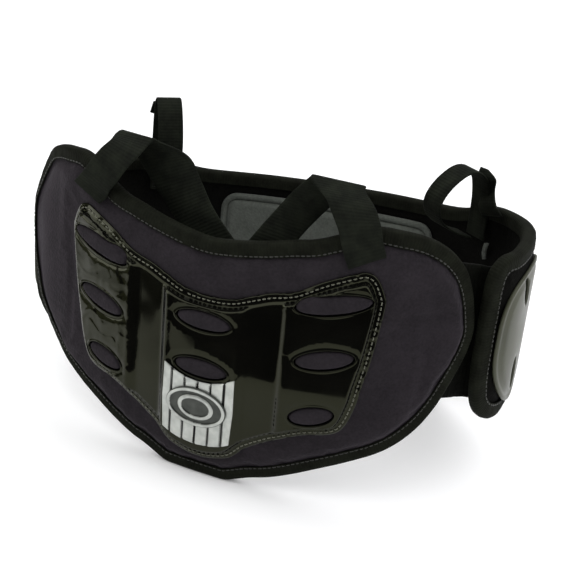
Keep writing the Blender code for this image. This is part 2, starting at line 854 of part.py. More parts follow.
def badge(material, boss_material):
    """Ribbed inset on the middle column with a plain oval boss."""
    base = PAD_CROWN + GAP + PLATE_COLUMN + GAP
    half = []
    for along, up in BADGE_OUTLINE:
        half.append(Vector((along * PLATE_REACH, PLATE_BOTTOM + up * PLATE_HEIGHT)))
    reach = max(point.x for point in half)
    sheet = flat_sheet(whole_outline(half, PLATE_SHIFT), (),
                       spaced(PLATE_SHIFT - reach, PLATE_SHIFT + reach, BADGE_COLUMN_STEP), [])
    plate = wrapped_slab("badge", sheet, upright_place, lambda flat: base + BADGE_THICKNESS,
                         lambda flat: base, material)
    along, up = BOSS_CENTRE
    centre = Vector((PLATE_SHIFT + along * PLATE_REACH, PLATE_BOTTOM + up * PLATE_HEIGHT))
    low = base + BADGE_THICKNESS + GAP
    boss = oval_prism("badge_boss", centre, BOSS_WIDTH, BOSS_HEIGHT, 0.0,
                      (low, low + BOSS_THICKNESS), boss_material)
    return plate, boss


fabric = plain_material("charcoal_fabric", (0.024, 0.019, 0.022), 0.9)
tape = plain_material("black_tape", (0.010, 0.011, 0.008), 0.85)
gloss = plain_material("gloss_black_plastic", (0.006, 0.006, 0.005), 0.15, coat=0.6)
silver = plain_material("silver_plastic", (0.55, 0.57, 0.55), 0.3)
grey_pad = plain_material("grey_lining", (0.060, 0.065, 0.060), 0.7)
grey_plastic = plain_material("grey_plastic", (0.14, 0.14, 0.11), 0.35)
webbing = plain_material("webbing", (0.012, 0.013, 0.010), 0.8)

front_edge = front_outline()
back_edge = back_outline()
padded_panel("front_panel", front_edge, upright_place, no_shift, PAD_CROWN, fabric)
edge_channel("front_binding", front_edge, upright_place, no_shift, tape)
armour_plate(gloss, gloss)
badge(silver, silver)
strap(1, RIGHT_LEG, RIGHT_ARM, "strap_right", front_edge, webbing)
strap(-1, LEFT_LEG, LEFT_ARM, "strap_left", front_edge, webbing)
padded_panel("back_panel", back_edge, back_place, wing_shift, WING_CROWN, fabric)
edge_channel("back_binding", back_edge, back_place, wing_shift, tape)
back_lining(grey_pad)
side_band(1, BAND_TOP_RIGHT, "side_band_right", webbing)
side_band(-1, BAND_TOP_LEFT, "side_band_left", webbing)
wing_plate(1, "wing_plate_right", grey_plastic)
wing_plate(-1, "wing_plate_left", grey_plastic)
for name, along, height, bulge in LOOPS:
    loop(name, along, height, bulge, webbing)
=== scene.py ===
# %% [markdown]
# # A padded rib protector
# The real thing is a foam belt that closes round the lower ribs. A glossy moulded plate is
# stitched to its front, black tape binds its edges, and two straps and two loops hold it up.
# Every soft piece here is laid on one upright wall whose plan is a rounded oval, so a flat
# pattern, as a cutter would draw it, can be wrapped round the body in one step.

# %% Load the fixed model
import math
import bpy
import bmesh
import numpy as np
from mathutils import Matrix, Vector
from mathutils.geometry import delaunay_2d_cdt


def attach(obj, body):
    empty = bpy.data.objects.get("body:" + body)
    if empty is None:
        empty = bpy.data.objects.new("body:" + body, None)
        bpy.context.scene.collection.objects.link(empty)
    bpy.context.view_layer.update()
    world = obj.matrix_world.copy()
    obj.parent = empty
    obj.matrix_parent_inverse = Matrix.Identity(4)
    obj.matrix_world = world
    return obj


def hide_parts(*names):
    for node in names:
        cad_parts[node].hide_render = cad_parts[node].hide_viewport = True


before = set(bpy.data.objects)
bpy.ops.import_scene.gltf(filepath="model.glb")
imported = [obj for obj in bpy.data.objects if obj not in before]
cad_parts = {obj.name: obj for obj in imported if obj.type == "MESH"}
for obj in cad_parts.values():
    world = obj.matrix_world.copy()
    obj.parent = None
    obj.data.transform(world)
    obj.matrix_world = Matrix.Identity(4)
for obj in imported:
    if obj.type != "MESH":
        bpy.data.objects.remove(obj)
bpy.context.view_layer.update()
scene = bpy.context.scene
print("nodes", sorted(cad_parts))

# %% [markdown]
# ## The camera
# The picture was taken from a little above and to the right, with the camera slightly rolled.
# The numbers were fitted to the object's outline, so the view needs no shift. A camera can also
# be aimed by an empty it tracks, but a matrix keeps the roll exact.

# %% Place the camera
YAW, PITCH, ROLL = (math.radians(angle) for angle in (21.956, 24.2497, 5.5303))
CAMERA_DISTANCE = 0.8732746
CAMERA_SIDE = 0.0166615
CAMERA_LEVEL = 0.1081465
CENTRE_SHIFT = 0.0061
back = Vector((math.sin(YAW) * math.cos(PITCH), -math.cos(YAW) * math.cos(PITCH), math.sin(PITCH)))
right = Vector((math.cos(YAW), math.sin(YAW), 0.0))
up = back.cross(right)
rolled_right = right * math.cos(ROLL) + up * math.sin(ROLL)
rolled_up = up * math.cos(ROLL) - right * math.sin(ROLL)
lens = bpy.data.cameras.new("photo_camera")
lens.sensor_width = 36.0
lens.lens = 72.965
camera = bpy.data.objects.new("photo_camera", lens)
scene.collection.objects.link(camera)
placing = Matrix((rolled_right, rolled_up, back)).transposed().to_4x4()
placing.translation = (right * CAMERA_SIDE + back * CAMERA_DISTANCE
                       + Vector((0.0, -CENTRE_SHIFT, CAMERA_LEVEL)))
camera.matrix_world = placing
scene.camera = camera
print("camera at", [round(value, 3) for value in placing.translation])

# %% [markdown]
# ## The wall
# A point of the wall has three numbers: along, the arc length from the middle of the front,
# height above the floor, and out, the distance outside the wall. The plan is two half ovals of
# different depth, and a table of its arc length lets NumPy place thousands of points at once.

# %% Lay points on the wall
HALF_WIDTH, FRONT_DEPTH, BACK_DEPTH = 0.180, 0.0997, 0.1248
FRONT_ROUNDNESS, BACK_ROUNDNESS = 2.14, 2.48
turns = np.linspace(-math.pi / 2, 3 * math.pi / 2, 2881)
in_front = np.sin(turns) < 0
roundness = np.where(in_front, FRONT_ROUNDNESS, BACK_ROUNDNESS)
depth = np.where(in_front, FRONT_DEPTH, BACK_DEPTH)
plan_x = HALF_WIDTH * np.sign(np.cos(turns)) * np.abs(np.cos(turns)) ** (2 / roundness)
plan_y = depth * np.sign(np.sin(turns)) * np.abs(np.sin(turns)) ** (2 / roundness) - CENTRE_SHIFT
plan_along = np.concatenate(([0.0], np.cumsum(np.hypot(np.diff(plan_x), np.diff(plan_y)))))
PERIMETER = plan_along[-1]
HALF_ROUND = PERIMETER / 2


def plan_point(along):
    """x and y of the plan at an arc length."""
    target = np.mod(along, PERIMETER)
    return np.interp(target, plan_along, plan_x), np.interp(target, plan_along, plan_y)


def outward(along):
    """x and y of the wall's outward normal."""
    x0, y0 = plan_point(along - 0.002)
    x1, y1 = plan_point(along + 0.002)
    length = np.hypot(x1 - x0, y1 - y0)
    return (y1 - y0) / length, -(x1 - x0) / length


def on_wall(along, height, out):
    """Points of the wall, as rows of x, y, z."""
    x, y = plan_point(along)
    normal_x, normal_y = outward(along)
    return np.stack((x + out * normal_x, y + out * normal_y, height + 0 * x), -1)


def ease(share):
    """0 to 1 with a soft start and end."""
    share = np.clip(share, 0.0, 1.0)
    return share * share * (3 - 2 * share)


WING_OUT, END_FLARE = 0.0062, 0.0012
STEP_START, STEP_LENGTH = 0.188, 0.018
CLIMB, DRAWN_IN = 0.070, 0.0065


def band_step(along):
    """Share of the side bands' step outward, from behind the front panel to inside the wing."""
    return ease((np.abs(along) - STEP_START) / STEP_LENGTH)


def left_flare(along, height):
    """How far the left end of the front half stands out, most at mid height and at its tape."""
    free = 1 - band_step(along)
    across = ease((-along - 0.112) / 0.048) * free
    end = END_FLARE * ease((-along - 0.160) / 0.016) * free
    lower, upper = ease((height - 0.046) / 0.048), ease((height - 0.145) / 0.048)
    return end + WING_OUT * across * lower * (1 - upper)


def on_front(along, height, out):
    """Points of the front half, whose left end bows out."""
    return on_wall(along, height, out + left_flare(along, height))


def back_rise(x, height):
    """The rear half is closed a little askew: its upper edge climbs towards +X."""
    gain = np.where(x > 0, 0.45, -0.15)
    return CLIMB * x * (1 + gain * (x / HALF_WIDTH) ** 2) * ease(height / 0.074)


def on_back(along, height, out):
    """Points of the rear half. The lower corner of its left wing is drawn in behind the front."""
    x = plan_point(along)[0]
    drawn_in = DRAWN_IN * (1 - ease((height - 0.054) / 0.034)) * ease((-x - 0.100) / 0.060)
    points = on_wall(along, height, out - drawn_in)
    points[..., 2] += back_rise(x, height)
    return points


print("round the wall", round(PERIMETER * 1000), "mm")

# %% [markdown]
# ## Flat patterns
# Each panel starts as half an outline, drawn as shares of the panel's reach and height, passed
# through a smooth curve and mirrored. The inside is filled with evenly spaced points and joined
# into triangles by a constrained Delaunay triangulation, which keeps seams and windows as clean
# lines. A grid cut with a Boolean is the usual other way, and it leaves slivers that show in gloss.

# %% Draw smooth outlines
def run_along(path):
    """Length of a path up to each of its points."""
    return np.concatenate(([0.0], np.cumsum(np.linalg.norm(np.diff(path, axis=0), axis=1))))


def through(knots, step, closed=False):
    """Evenly spaced points on a smooth curve through the knots."""
    knots = np.asarray(knots, float)
    count = len(knots)
    fine = []
    for index in range(count if closed else count - 1):
        if closed:
            before, start, end, after = (knots[(index + offset) % count] for offset in (-1, 0, 1, 2))
        else:
            before, after = knots[max(index - 1, 0)], knots[min(index + 2, count - 1)]
            start, end = knots[index], knots[index + 1]
        t = np.linspace(0, 1, 24, endpoint=False)[:, None]
        curve = 2 * start + (end - before) * t
        curve = curve + (2 * before - 5 * start + 4 * end - after) * t ** 2
        curve = curve + (3 * start - 3 * end + after - before) * t ** 3
        fine.append(curve / 2)
    fine = np.concatenate(fine + [knots[:1] if closed else knots[-1:]])
    length = run_along(fine)
    stops = np.linspace(0, length[-1], max(3, round(length[-1] / step)) + 1)
    if closed:
        stops = stops[:-1]
    return np.stack([np.interp(stops, length, fine[:, axis]) for axis in range(fine.shape[1])], -1)


def anticlockwise(outline):
    """The outline, turned round if it runs clockwise."""
    (x, y), (next_x, next_y) = outline.T, np.roll(outline, -1, 0).T
    return outline[::-1] if np.sum(x * next_y - next_x * y) < 0 else outline


def mirrored(table, reach, height, bottom, centre, step):
    """Closed outline, anticlockwise, from a table of one half."""
    half = [(along * reach, bottom + up * height) for along, up in table]
    left = [(-along, up) for along, up in half]
    outline = through(left[1:-1] + half[::-1], step, closed=True)
    outline[:, 1] = np.maximum(outline[:, 1], bottom)
    return anticlockwise(outline) + (centre, 0.0)


def inward(outline):
    """Unit vectors from an outline's points towards its inside."""
    along = np.roll(outline, -1, 0) - np.roll(outline, 1, 0)
    return np.stack((-along[:, 1], along[:, 0]), -1) / np.linalg.norm(along, axis=1)[:, None]


def inset(outline, distance):
    """The outline moved inward."""
    return outline + inward(outline) * distance


def distance_to(outline, points):
    """Distance of flat points from a closed outline."""
    best = np.full(len(points), 9.0)
    for start, end in zip(outline, np.roll(outline, -1, 0)):
        edge = end - start
        share = np.clip((points - start) @ edge / max(edge @ edge, 1e-12), 0, 1)
        best = np.minimum(best, np.linalg.norm(points - start - share[:, None] * edge, axis=1))
    return best


def inside(outline, points):
    """Which flat points lie inside a closed outline."""
    result = np.zeros(len(points), bool)
    for (x0, y0), (x1, y1) in zip(outline, np.roll(outline, -1, 0)):
        crosses = (y0 > points[:, 1]) != (y1 > points[:, 1])
        rise = y1 - y0 if y1 != y0 else 1e-12
        result ^= crosses & (points[:, 0] < (x1 - x0) * (points[:, 1] - y0) / rise + x0)
    return result


def fill(rings, holes, spacing):
    """Flat points and triangles inside the first ring and outside the holes. All rings are kept."""
    outer = rings[0]
    low, high = outer.min(0), outer.max(0)
    rows = []
    for number, y in enumerate(np.arange(low[1], high[1], spacing * 0.866)):
        shift = spacing / 2 * (number % 2)
        xs = np.arange(low[0] + shift, high[0], spacing)
        rows.append(np.stack((xs, np.full(len(xs), y)), -1))
    grid = np.concatenate(rows)
    keep = inside(outer, grid)
    for ring in rings + holes:
        keep[keep] &= distance_to(ring, grid[keep]) > 0.6 * spacing
    for hole in holes:
        keep[keep] &= ~inside(hole, grid[keep])
    points = list(map(Vector, grid[keep]))
    edges = []
    for ring in rings + holes:
        first = len(points)
        points += list(map(Vector, ring))
        edges += [(first + index, first + (index + 1) % len(ring)) for index in range(len(ring))]
    found, _, faces, *_ = delaunay_2d_cdt(points, edges, [], 0, 1e-7)
    flat = np.array([tuple(point) for point in found])
    faces = np.array(faces)
    middle = flat[faces].mean(1)
    wanted = inside(outer, middle)
    for hole in holes:
        wanted &= ~inside(hole, middle)
    return flat, faces[wanted]


# %% [markdown]
# ## Closed pieces
# A flat pattern becomes a closed slab when its front and back are placed separately and a strip
# of faces joins their borders. The flat coordinates are kept as a UV map in metres, so weave and
# ribs can be drawn at their real size. A Solidify modifier does the same with one thickness.

# %% Make closed slabs
def new_piece(name, vertices, faces, material, node=None, smooth=True):
    """Adds a mesh piece that rides on the belt."""
    mesh = bpy.data.meshes.new(name)
    mesh.from_pydata(list(map(tuple, vertices)), [], [tuple(map(int, face)) for face in faces])
    mesh.validate()
    work = bmesh.new()
    work.from_mesh(mesh)
    bmesh.ops.recalc_face_normals(work, faces=work.faces[:])
    work.to_mesh(mesh)
    work.free()
    mesh.polygons.foreach_set("use_smooth", [smooth] * len(mesh.polygons))
    mesh.materials.append(material)
    piece = bpy.data.objects.new(name, mesh)
    scene.collection.objects.link(piece)
    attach(piece, "root")
    if node:
        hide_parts(node)
    return piece


def add_uv(piece, values):
    """Stores a flat position in metres for each vertex, as a UV map."""
    layer = piece.data.uv_layers.new(name="cloth_metres")
    corner = np.zeros(len(piece.data.loops), int)
    piece.data.loops.foreach_get("vertex_index", corner)
    layer.data.foreach_set("uv", np.asarray(values, float)[corner].ravel())


def slab(name, flat, faces, place, front, rear, material, node=None):
    """Closed slab of a flat pattern. front and rear are the outs of its two faces."""
    count = len(flat)
    vertices = np.concatenate([place(flat[:, 0], flat[:, 1], out) for out in (front, rear)])
    sides = {}
    for face in faces:
        for start, end in zip(face, np.roll(face, -1)):
            sides[(int(start), int(end))] = True
    border = [(start, end) for start, end in sides if (end, start) not in sides]
    skin = [tuple(face) for face in faces] + [tuple(face[::-1] + count) for face in faces]
    skin += [(start, end, end + count, start + count) for start, end in border]
    piece = new_piece(name, vertices, skin, material, node)
    add_uv(piece, np.concatenate((flat, flat)))
    return piece


# %% [markdown]
# ## Building materials
# A finish is a small network of nodes. One helper adds any node, and another fills its sockets.
# Colours are written as they are read off a swatch, in sRGB hex, and turned into the linear
# values that the shader needs.

# %% Helpers for finishes
def linear(swatch):
    """Linear colour of an sRGB hex value."""
    parts = [int(swatch[index:index + 2], 16) / 255 for index in (1, 3, 5)]
    parts = [part / 12.92 if part <= 0.04045 else ((part + 0.055) / 1.055) ** 2.4 for part in parts]
    return (*parts, 1.0)


def plug(tree, node, **sockets):
    """Gives sockets of a node a value, or a link from another node or its output."""
    for name, value in sockets.items():
        socket = node.inputs[int(name[1:]) if name[1:].isdigit() else name.replace("_", " ")]
        if isinstance(value, bpy.types.Node):
            value = value.outputs[0]
        if isinstance(value, bpy.types.NodeSocket):
            tree.links.new(value, socket)
        else:
            socket.default_value = value


def add_node(tree, kind, settings=None, **sockets):
    """Adds a node of any kind, with its settings and sockets."""
    node = tree.nodes.new(kind)
    for name, value in (settings or {}).items():
        setattr(node, name, value)
    plug(tree, node, **sockets)
    return node


def start_material(name, **constants):
    """A material, its tree, its shader with the constants set, and the object's coordinates."""
    material = bpy.data.materials.new(name)
    material.use_nodes = True
    tree = material.node_tree
    shader = tree.nodes["Principled BSDF"]
    plug(tree, shader, **constants)
    return material, tree, shader, add_node(tree, "ShaderNodeTexCoord").outputs["Object"]


def tinted(tree, factor, dark, light, low=0.3, high=0.7):
    """A colour between two swatches."""
    ramp = add_node(tree, "ShaderNodeValToRGB", _0=factor)
    ramp.color_ramp.elements[0].position, ramp.color_ramp.elements[0].color = low, linear(dark)
    ramp.color_ramp.elements[1].position, ramp.color_ramp.elements[1].color = high, linear(light)
    return ramp.outputs[0]


# %% [markdown]
# ### Brushed polyester knit over foam
# The panels are faced with a soft warp knit, brushed so that its pile scatters light. It looks
# flat and slightly violet against the tape. Its stitches are about 0.5 mm apart, far under one
# pixel here, so the bump is drawn at 1.6 mm, and a broad mottle stands for the brushed pile.

# %% Brushed knit
def brushed_knit(name, dark, light, sheen=0.25, shine=0.14):
    material, tree, shader, where = start_material(
        name, Roughness=0.92, Sheen_Weight=sheen, Sheen_Roughness=0.45, Sheen_Tint=linear("#6d6570"),
        Specular_IOR_Level=shine)
    mottle = add_node(tree, "ShaderNodeTexNoise", Vector=where, Scale=38.0, Detail=6.0, Roughness=0.62)
    pile = add_node(tree, "ShaderNodeTexNoise", Vector=where, Scale=520.0, Detail=3.0, Roughness=0.6)
    both = add_node(tree, "ShaderNodeMix", {"data_type": "FLOAT"}, Factor=0.45, _2=mottle, _3=pile)
    plug(tree, shader, Base_Color=tinted(tree, both, dark, light, 0.36, 0.64))
    knit = add_node(tree, "ShaderNodeTexVoronoi", {"feature": "SMOOTH_F1"}, Vector=where, Scale=620.0)
    height = add_node(tree, "ShaderNodeMath", {"operation": "ADD"}, _0=knit.outputs["Distance"],
                      _1=pile)
    bump = add_node(tree, "ShaderNodeBump", Strength=0.5, Distance=0.0006, Height=height)
    plug(tree, shader, Normal=bump)
    return material


panel_knit = brushed_knit("brushed_polyester_knit", "#1c191c", "#292529")

# %% [markdown]
# ### Woven polypropylene tape and webbing
# Tape and webbing are flat weaves: threads cross about every 0.8 mm, with a rib across the
# strap. Each is drawn on the piece's own flat metres, so the ribs follow every fold. The rib is
# drawn at 2 to 3 mm so that it shows.

# %% Woven tape
def woven(name, dark, light, rib, roughness=0.8, depth=0.00035, rib_way=1):
    material, tree, shader, where = start_material(name, Roughness=roughness, Specular_IOR_Level=0.05)
    flat = add_node(tree, "ShaderNodeUVMap", {"uv_map": "cloth_metres"})
    axes = add_node(tree, "ShaderNodeSeparateXYZ", _0=flat)
    turn = 2 * math.pi / rib
    ribs = add_node(tree, "ShaderNodeMath", {"operation": "MULTIPLY"}, _0=axes.outputs[rib_way],
                    _1=turn)
    ribs = add_node(tree, "ShaderNodeMath", {"operation": "SINE"}, _0=ribs)
    cross = add_node(tree, "ShaderNodeMath", {"operation": "MULTIPLY"}, _0=axes.outputs[1 - rib_way],
                     _1=turn * 0.8)
    cross = add_node(tree, "ShaderNodeMath", {"operation": "SINE"}, _0=cross)
    weave = add_node(tree, "ShaderNodeMath", {"operation": "MULTIPLY_ADD"}, _0=cross, _1=0.35, _2=ribs)
    wear = add_node(tree, "ShaderNodeTexNoise", Vector=where, Scale=90.0, Detail=5.0, Roughness=0.6)
    shade = add_node(tree, "ShaderNodeMath", {"operation": "MULTIPLY_ADD"}, _0=weave, _1=0.03, _2=wear)
    plug(tree, shader, Base_Color=tinted(tree, shade, dark, light, 0.34, 0.68))
    bump = add_node(tree, "ShaderNodeBump", Strength=0.25, Distance=depth, Height=weave)
    plug(tree, shader, Normal=bump)
    return material


edge_tape = woven("woven_polyester_edge_tape", "#10110c", "#1a1c15", 0.0022)
strap_webbing = woven("polypropylene_webbing", "#121410", "#1e211a", 0.0024)
band_webbing = woven("knitted_elastic_band", "#070806", "#0e0f0b", 0.0032, depth=0.0006, rib_way=0)

# %% [markdown]
# ### High-gloss moulded plate
# The plate is ABS or polycarbonate sheet pressed over a polished form. Nothing but reflections
# shows its shape, so the roughness is low and only a faint haze and a few soft ripples break
# it. They are stronger at its left end.
# The real sheet is bellied: its lower part looks down at the pale floor and its upper part leans
# back and mirrors the dark side of the room, with a sharp line between. A bump with a constant
# lean above that line gives the same, where bending the mesh would move its outline.

# %% Gloss black sheet
BELLY_LINE, BELLY_SLOPE = 0.0855, 0.45
BELLY_ROUND, BELLY_LEAN = 0.0030, 0.29
WAVE_HEIGHT = 0.0013


def gloss_sheet(name, swatch):
    material, tree, shader, where = start_material(
        name, IOR=1.54, Specular_IOR_Level=0.25, Specular_Tint=linear("#e6eac0"))
    haze = add_node(tree, "ShaderNodeTexNoise", Vector=where, Scale=24.0, Detail=5.0, Roughness=0.55)
    rough = add_node(tree, "ShaderNodeMapRange", _0=haze, _1=0.35, _2=0.7, _3=0.05, _4=0.12)
    plug(tree, shader, Roughness=rough)
    plug(tree, shader, Base_Color=tinted(tree, haze, swatch, "#0c0c0a"))
    axes = add_node(tree, "ShaderNodeSeparateXYZ", _0=where).outputs
    leftward = add_node(tree, "ShaderNodeMath", {"operation": "MINIMUM"}, _0=axes[0], _1=0.0)
    up = add_node(tree, "ShaderNodeMath", {"operation": "MULTIPLY_ADD"}, _0=leftward, _1=-BELLY_SLOPE,
                  _2=axes[2])
    over = add_node(tree, "ShaderNodeMath", {"operation": "SUBTRACT"}, _0=up, _1=BELLY_LINE)
    over = add_node(tree, "ShaderNodeMath", {"operation": "DIVIDE"}, _0=over, _1=BELLY_ROUND)
    power = add_node(tree, "ShaderNodeMath", {"operation": "EXPONENT"}, _0=over)
    power = add_node(tree, "ShaderNodeMath", {"operation": "ADD"}, _0=power, _1=1.0)
    lean = add_node(tree, "ShaderNodeMath", {"operation": "LOGARITHM"}, _0=power, _1=math.e)
    belly = add_node(tree, "ShaderNodeMath", {"operation": "MULTIPLY"}, _0=lean,
                     _1=-BELLY_LEAN * BELLY_ROUND)
    ripple = add_node(tree, "ShaderNodeTexNoise", Vector=where, Scale=22.0, Detail=1.0)
    surface = add_node(tree, "ShaderNodeMath", {"operation": "MULTIPLY_ADD"}, _0=ripple,
                       _1=0.0011, _2=belly)
    on_left = add_node(tree, "ShaderNodeMapRange", _0=axes[0], _1=-0.045, _2=-0.062, _3=0.0,
                       _4=WAVE_HEIGHT)
    wave = add_node(tree, "ShaderNodeTexNoise", Vector=where, Scale=70.0, Detail=1.0, Distortion=0.6)
    surface = add_node(tree, "ShaderNodeMath", {"operation": "MULTIPLY_ADD"}, _0=wave,
                       _1=on_left, _2=surface)
    bump = add_node(tree, "ShaderNodeBump", Strength=1.0, Distance=1.0, Height=surface)
    plug(tree, shader, Normal=bump)
    return material


plate_gloss = gloss_sheet("polished_abs_sheet", "#060605")

# %% [markdown]
# ### The smaller finishes
# The badge is vacuum-metallised plastic, the lining is closed-cell foam moulded under a grey
# knit, the wing plates are satin-moulded nylon, and the seams are bonded polyester thread.

# %% Silver, lining, nylon and thread
def metallised(name, dark, light):
    material, tree, shader, where = start_material(name, Metallic=0.5, IOR=1.5)
    grain = add_node(tree, "ShaderNodeTexNoise", Vector=where, Scale=160.0, Detail=4.0)
    plug(tree, shader, Base_Color=tinted(tree, grain, dark, light))
    rough = add_node(tree, "ShaderNodeMapRange", _0=grain, _1=0.3, _2=0.7, _3=0.28, _4=0.42)
    plug(tree, shader, Roughness=rough)
    return material


def satin_plastic(name, dark, light, roughness):
    material, tree, shader, where = start_material(name, IOR=1.5, Specular_IOR_Level=0.2)
    cloud = add_node(tree, "ShaderNodeTexNoise", Vector=where, Scale=30.0, Detail=5.0)
    plug(tree, shader, Base_Color=tinted(tree, cloud, dark, light))
    rough = add_node(tree, "ShaderNodeMapRange", _0=cloud, _1=0.3, _2=0.7, _3=roughness - 0.05,
                     _4=roughness + 0.07)
    plug(tree, shader, Roughness=rough)
    pores = add_node(tree, "ShaderNodeTexNoise", Vector=where, Scale=900.0, Detail=2.0)
    bump = add_node(tree, "ShaderNodeBump", Strength=0.25, Distance=0.0002, Height=pores)
    plug(tree, shader, Normal=bump)
    return material


def thread(name, dark, light):
    material, tree, shader, where = start_material(name, Roughness=0.55, Sheen_Weight=0.2)
    ply = add_node(tree, "ShaderNodeTexWave", Vector=where, Scale=420.0, Distortion=1.5, Detail=2.0)
    plug(tree, shader, Base_Color=tinted(tree, ply, dark, light))
    bump = add_node(tree, "ShaderNodeBump", Strength=0.4, Distance=0.0001, Height=ply)
    plug(tree, shader, Normal=bump)
    return material


badge_silver = metallised("metallised_abs", "#a2a5a0", "#c0c3bd")
# A darker copy of the silver: painted shade for the boss's troughs and outer edge.
boss_painted_shade = metallised("metallised_abs_painted_shade", "#2f322e", "#454843")
# Near-black for the badge's grooves: painted shade.
groove_painted_shade = satin_plastic("black_abs_painted_groove_shade", "#0d0d0c", "#171715", 0.5)
wing_nylon = satin_plastic("satin_moulded_nylon", "#333528", "#434536", 0.34)
lining_knit = brushed_knit("grey_knit_on_foam", "#454843", "#5b5f59")
plate_thread = thread("waxed_polyester_thread", "#3b3c30", "#6a6b58")
tape_thread = thread("black_polyester_thread", "#15160f", "#1f2019")

# %% [markdown]
# ## Outlines of the panels
# Each half table goes from the middle of the upper edge round the end to the middle of the
# lower edge: a share of the reach along the wall and a share of the height. The front's upper
# left corner stands a little higher than the right one.

# %% Front, plate and back outlines
FRONT_HEIGHT, FRONT_REACH = 0.207, 0.186
PLATE_REACH, PLATE_BOTTOM, PLATE_HEIGHT, PLATE_SHIFT = 0.1155, 0.0187, 0.1605, 0.0045
BACK_HEIGHT, BACK_REACH = 0.1745, 0.290
FRONT_OUTLINE = (
    (0.000, 0.867), (0.091, 0.876), (0.199, 0.894), (0.301, 0.916), (0.382, 0.931), (0.462, 0.959),
    (0.530, 0.985), (0.600, 1.000), (0.672, 0.994), (0.750, 0.982), (0.820, 0.958), (0.880, 0.920),
    (0.931, 0.866), (0.967, 0.795), (0.990, 0.716), (1.000, 0.655), (0.990, 0.595), (0.968, 0.540),
    (0.933, 0.470), (0.890, 0.392), (0.835, 0.318), (0.765, 0.255), (0.690, 0.210), (0.580, 0.165),
    (0.480, 0.126), (0.380, 0.085), (0.300, 0.056), (0.225, 0.036), (0.165, 0.014), (0.118, 0.000),
    (0.000, 0.000))
PLATE_OUTLINE = (
    (0.000, 0.770), (0.144, 0.779), (0.260, 0.812), (0.368, 0.844), (0.508, 0.872), (0.658, 0.935),
    (0.815, 0.986), (0.883, 1.000), (0.943, 0.976), (0.991, 0.905), (0.998, 0.862), (0.980, 0.731),
    (0.955, 0.600), (0.926, 0.488), (0.903, 0.394), (0.857, 0.298), (0.788, 0.254), (0.628, 0.227),
    (0.496, 0.186), (0.418, 0.158), (0.303, 0.105), (0.205, 0.036), (0.085, 0.006), (0.000, 0.000))
BACK_OUTLINE = (
    (0.000, 0.884), (0.160, 0.884), (0.300, 0.884), (0.390, 0.892), (0.455, 0.918), (0.530, 0.952),
    (0.640, 0.958), (0.780, 0.958), (0.900, 0.962), (0.952, 0.968), (0.984, 0.938), (0.998, 0.880),
    (1.000, 0.760), (1.000, 0.560), (0.995, 0.430), (0.980, 0.346), (0.945, 0.293), (0.890, 0.263),
    (0.815, 0.248), (0.680, 0.218), (0.560, 0.172), (0.450, 0.085), (0.360, 0.022), (0.290, 0.000),
    (0.000, 0.000))
front_edge = mirrored(FRONT_OUTLINE, FRONT_REACH, FRONT_HEIGHT, 0.0, 0.0, 0.003)
LEFT_LIFT = 0.0045
upper = ease((front_edge[:, 1] - 0.170) / 0.030)
front_edge[:, 1] += LEFT_LIFT * upper * ease((-front_edge[:, 0] - 0.070) / 0.040)
plate_edge = mirrored(PLATE_OUTLINE, PLATE_REACH, PLATE_HEIGHT, PLATE_BOTTOM, PLATE_SHIFT, 0.002)
back_edge = mirrored(BACK_OUTLINE, BACK_REACH, BACK_HEIGHT, 0.0, HALF_ROUND, 0.003)
print("points round the edges", len(front_edge), len(plate_edge), len(back_edge))

# %% [markdown]
# ## The oval windows
# Eight oval windows go through the plate. The belt's foam presses into them, so the knit stands
# nearly level with the gloss. Each oval is a ring of points, turned a few degrees. The wing
# plates are drawn by the same ring, with a blunt upper end.

# %% Ovals
OVAL_HEIGHT = 0.0145
PLATE_OVALS = (
    # along, height, width share, tilt
    (0.000, 0.665, 0.346, 0.0), (0.000, 0.443, 0.338, 0.0), (0.727, 0.853, 0.428, 14.0),
    (0.708, 0.604, 0.338, 14.0), (0.668, 0.338, 0.264, 16.0))


def oval(centre, width, height, tilt, grow=0.0, points=56, blunt=2.0):
    """Ring of points of an oval, grown by a distance. Above 2, blunt squares its upper end."""
    angle = np.linspace(0, 2 * math.pi, points, endpoint=False)
    power = np.where(np.sin(angle) > 0, 2 / blunt, 1.0)
    x, y = (np.sign(part) * np.abs(part) ** power for part in (np.cos(angle), np.sin(angle)))
    x, y = (width / 2 + grow) * x, (height / 2 + grow) * y
    cosine, sine = math.cos(math.radians(tilt)), math.sin(math.radians(tilt))
    return np.stack((centre[0] + x * cosine - y * sine, centre[1] + x * sine + y * cosine), -1)


def beyond_oval(points, centre, width, height, tilt, blunt=2.0):
    """About how far flat points lie outside an oval, less than 0 inside it."""
    cosine, sine = math.cos(math.radians(tilt)), math.sin(math.radians(tilt))
    x, y = points[:, 0] - centre[0], points[:, 1] - centre[1]
    across, rise = x * cosine + y * sine, y * cosine - x * sine
    power = np.where(rise > 0, blunt, 2.0)
    share = np.abs(across / (width / 2)) ** power + np.abs(rise / (height / 2)) ** power
    return np.hypot(across, rise) * (1 - 1 / np.maximum(share ** (1 / power), 1e-6))


windows = []
for along, high, width, tilt in PLATE_OVALS:
    for side in ((1, -1) if along else (1,)):
        centre = (PLATE_SHIFT + side * along * PLATE_REACH, PLATE_BOTTOM + high * PLATE_HEIGHT)
        windows.append((centre, width * PLATE_REACH, OVAL_HEIGHT, side * tilt))
print(len(windows), "windows")

# %% [markdown]
# ## Padded panels by cloth simulation
# Cloth over foam swells between its seams. The panel starts a little thin, its rim and the part
# under the plate are pinned, and Blender's Cloth blows the rest up like a cushion. The movement
# is capped, so the pad stays clear of the plate and the tape. The result is written into the
# mesh, and the modifier goes. Sculpting the swelling by hand is the slower way.

# %% Swell a pad
EDGE_THICKNESS, PAD_CROWN, WING_CROWN = 0.0062, 0.0056, 0.0026
PRESSURE, LOOSE, SETTLED_FRAME = 4.0, 0.02, 20


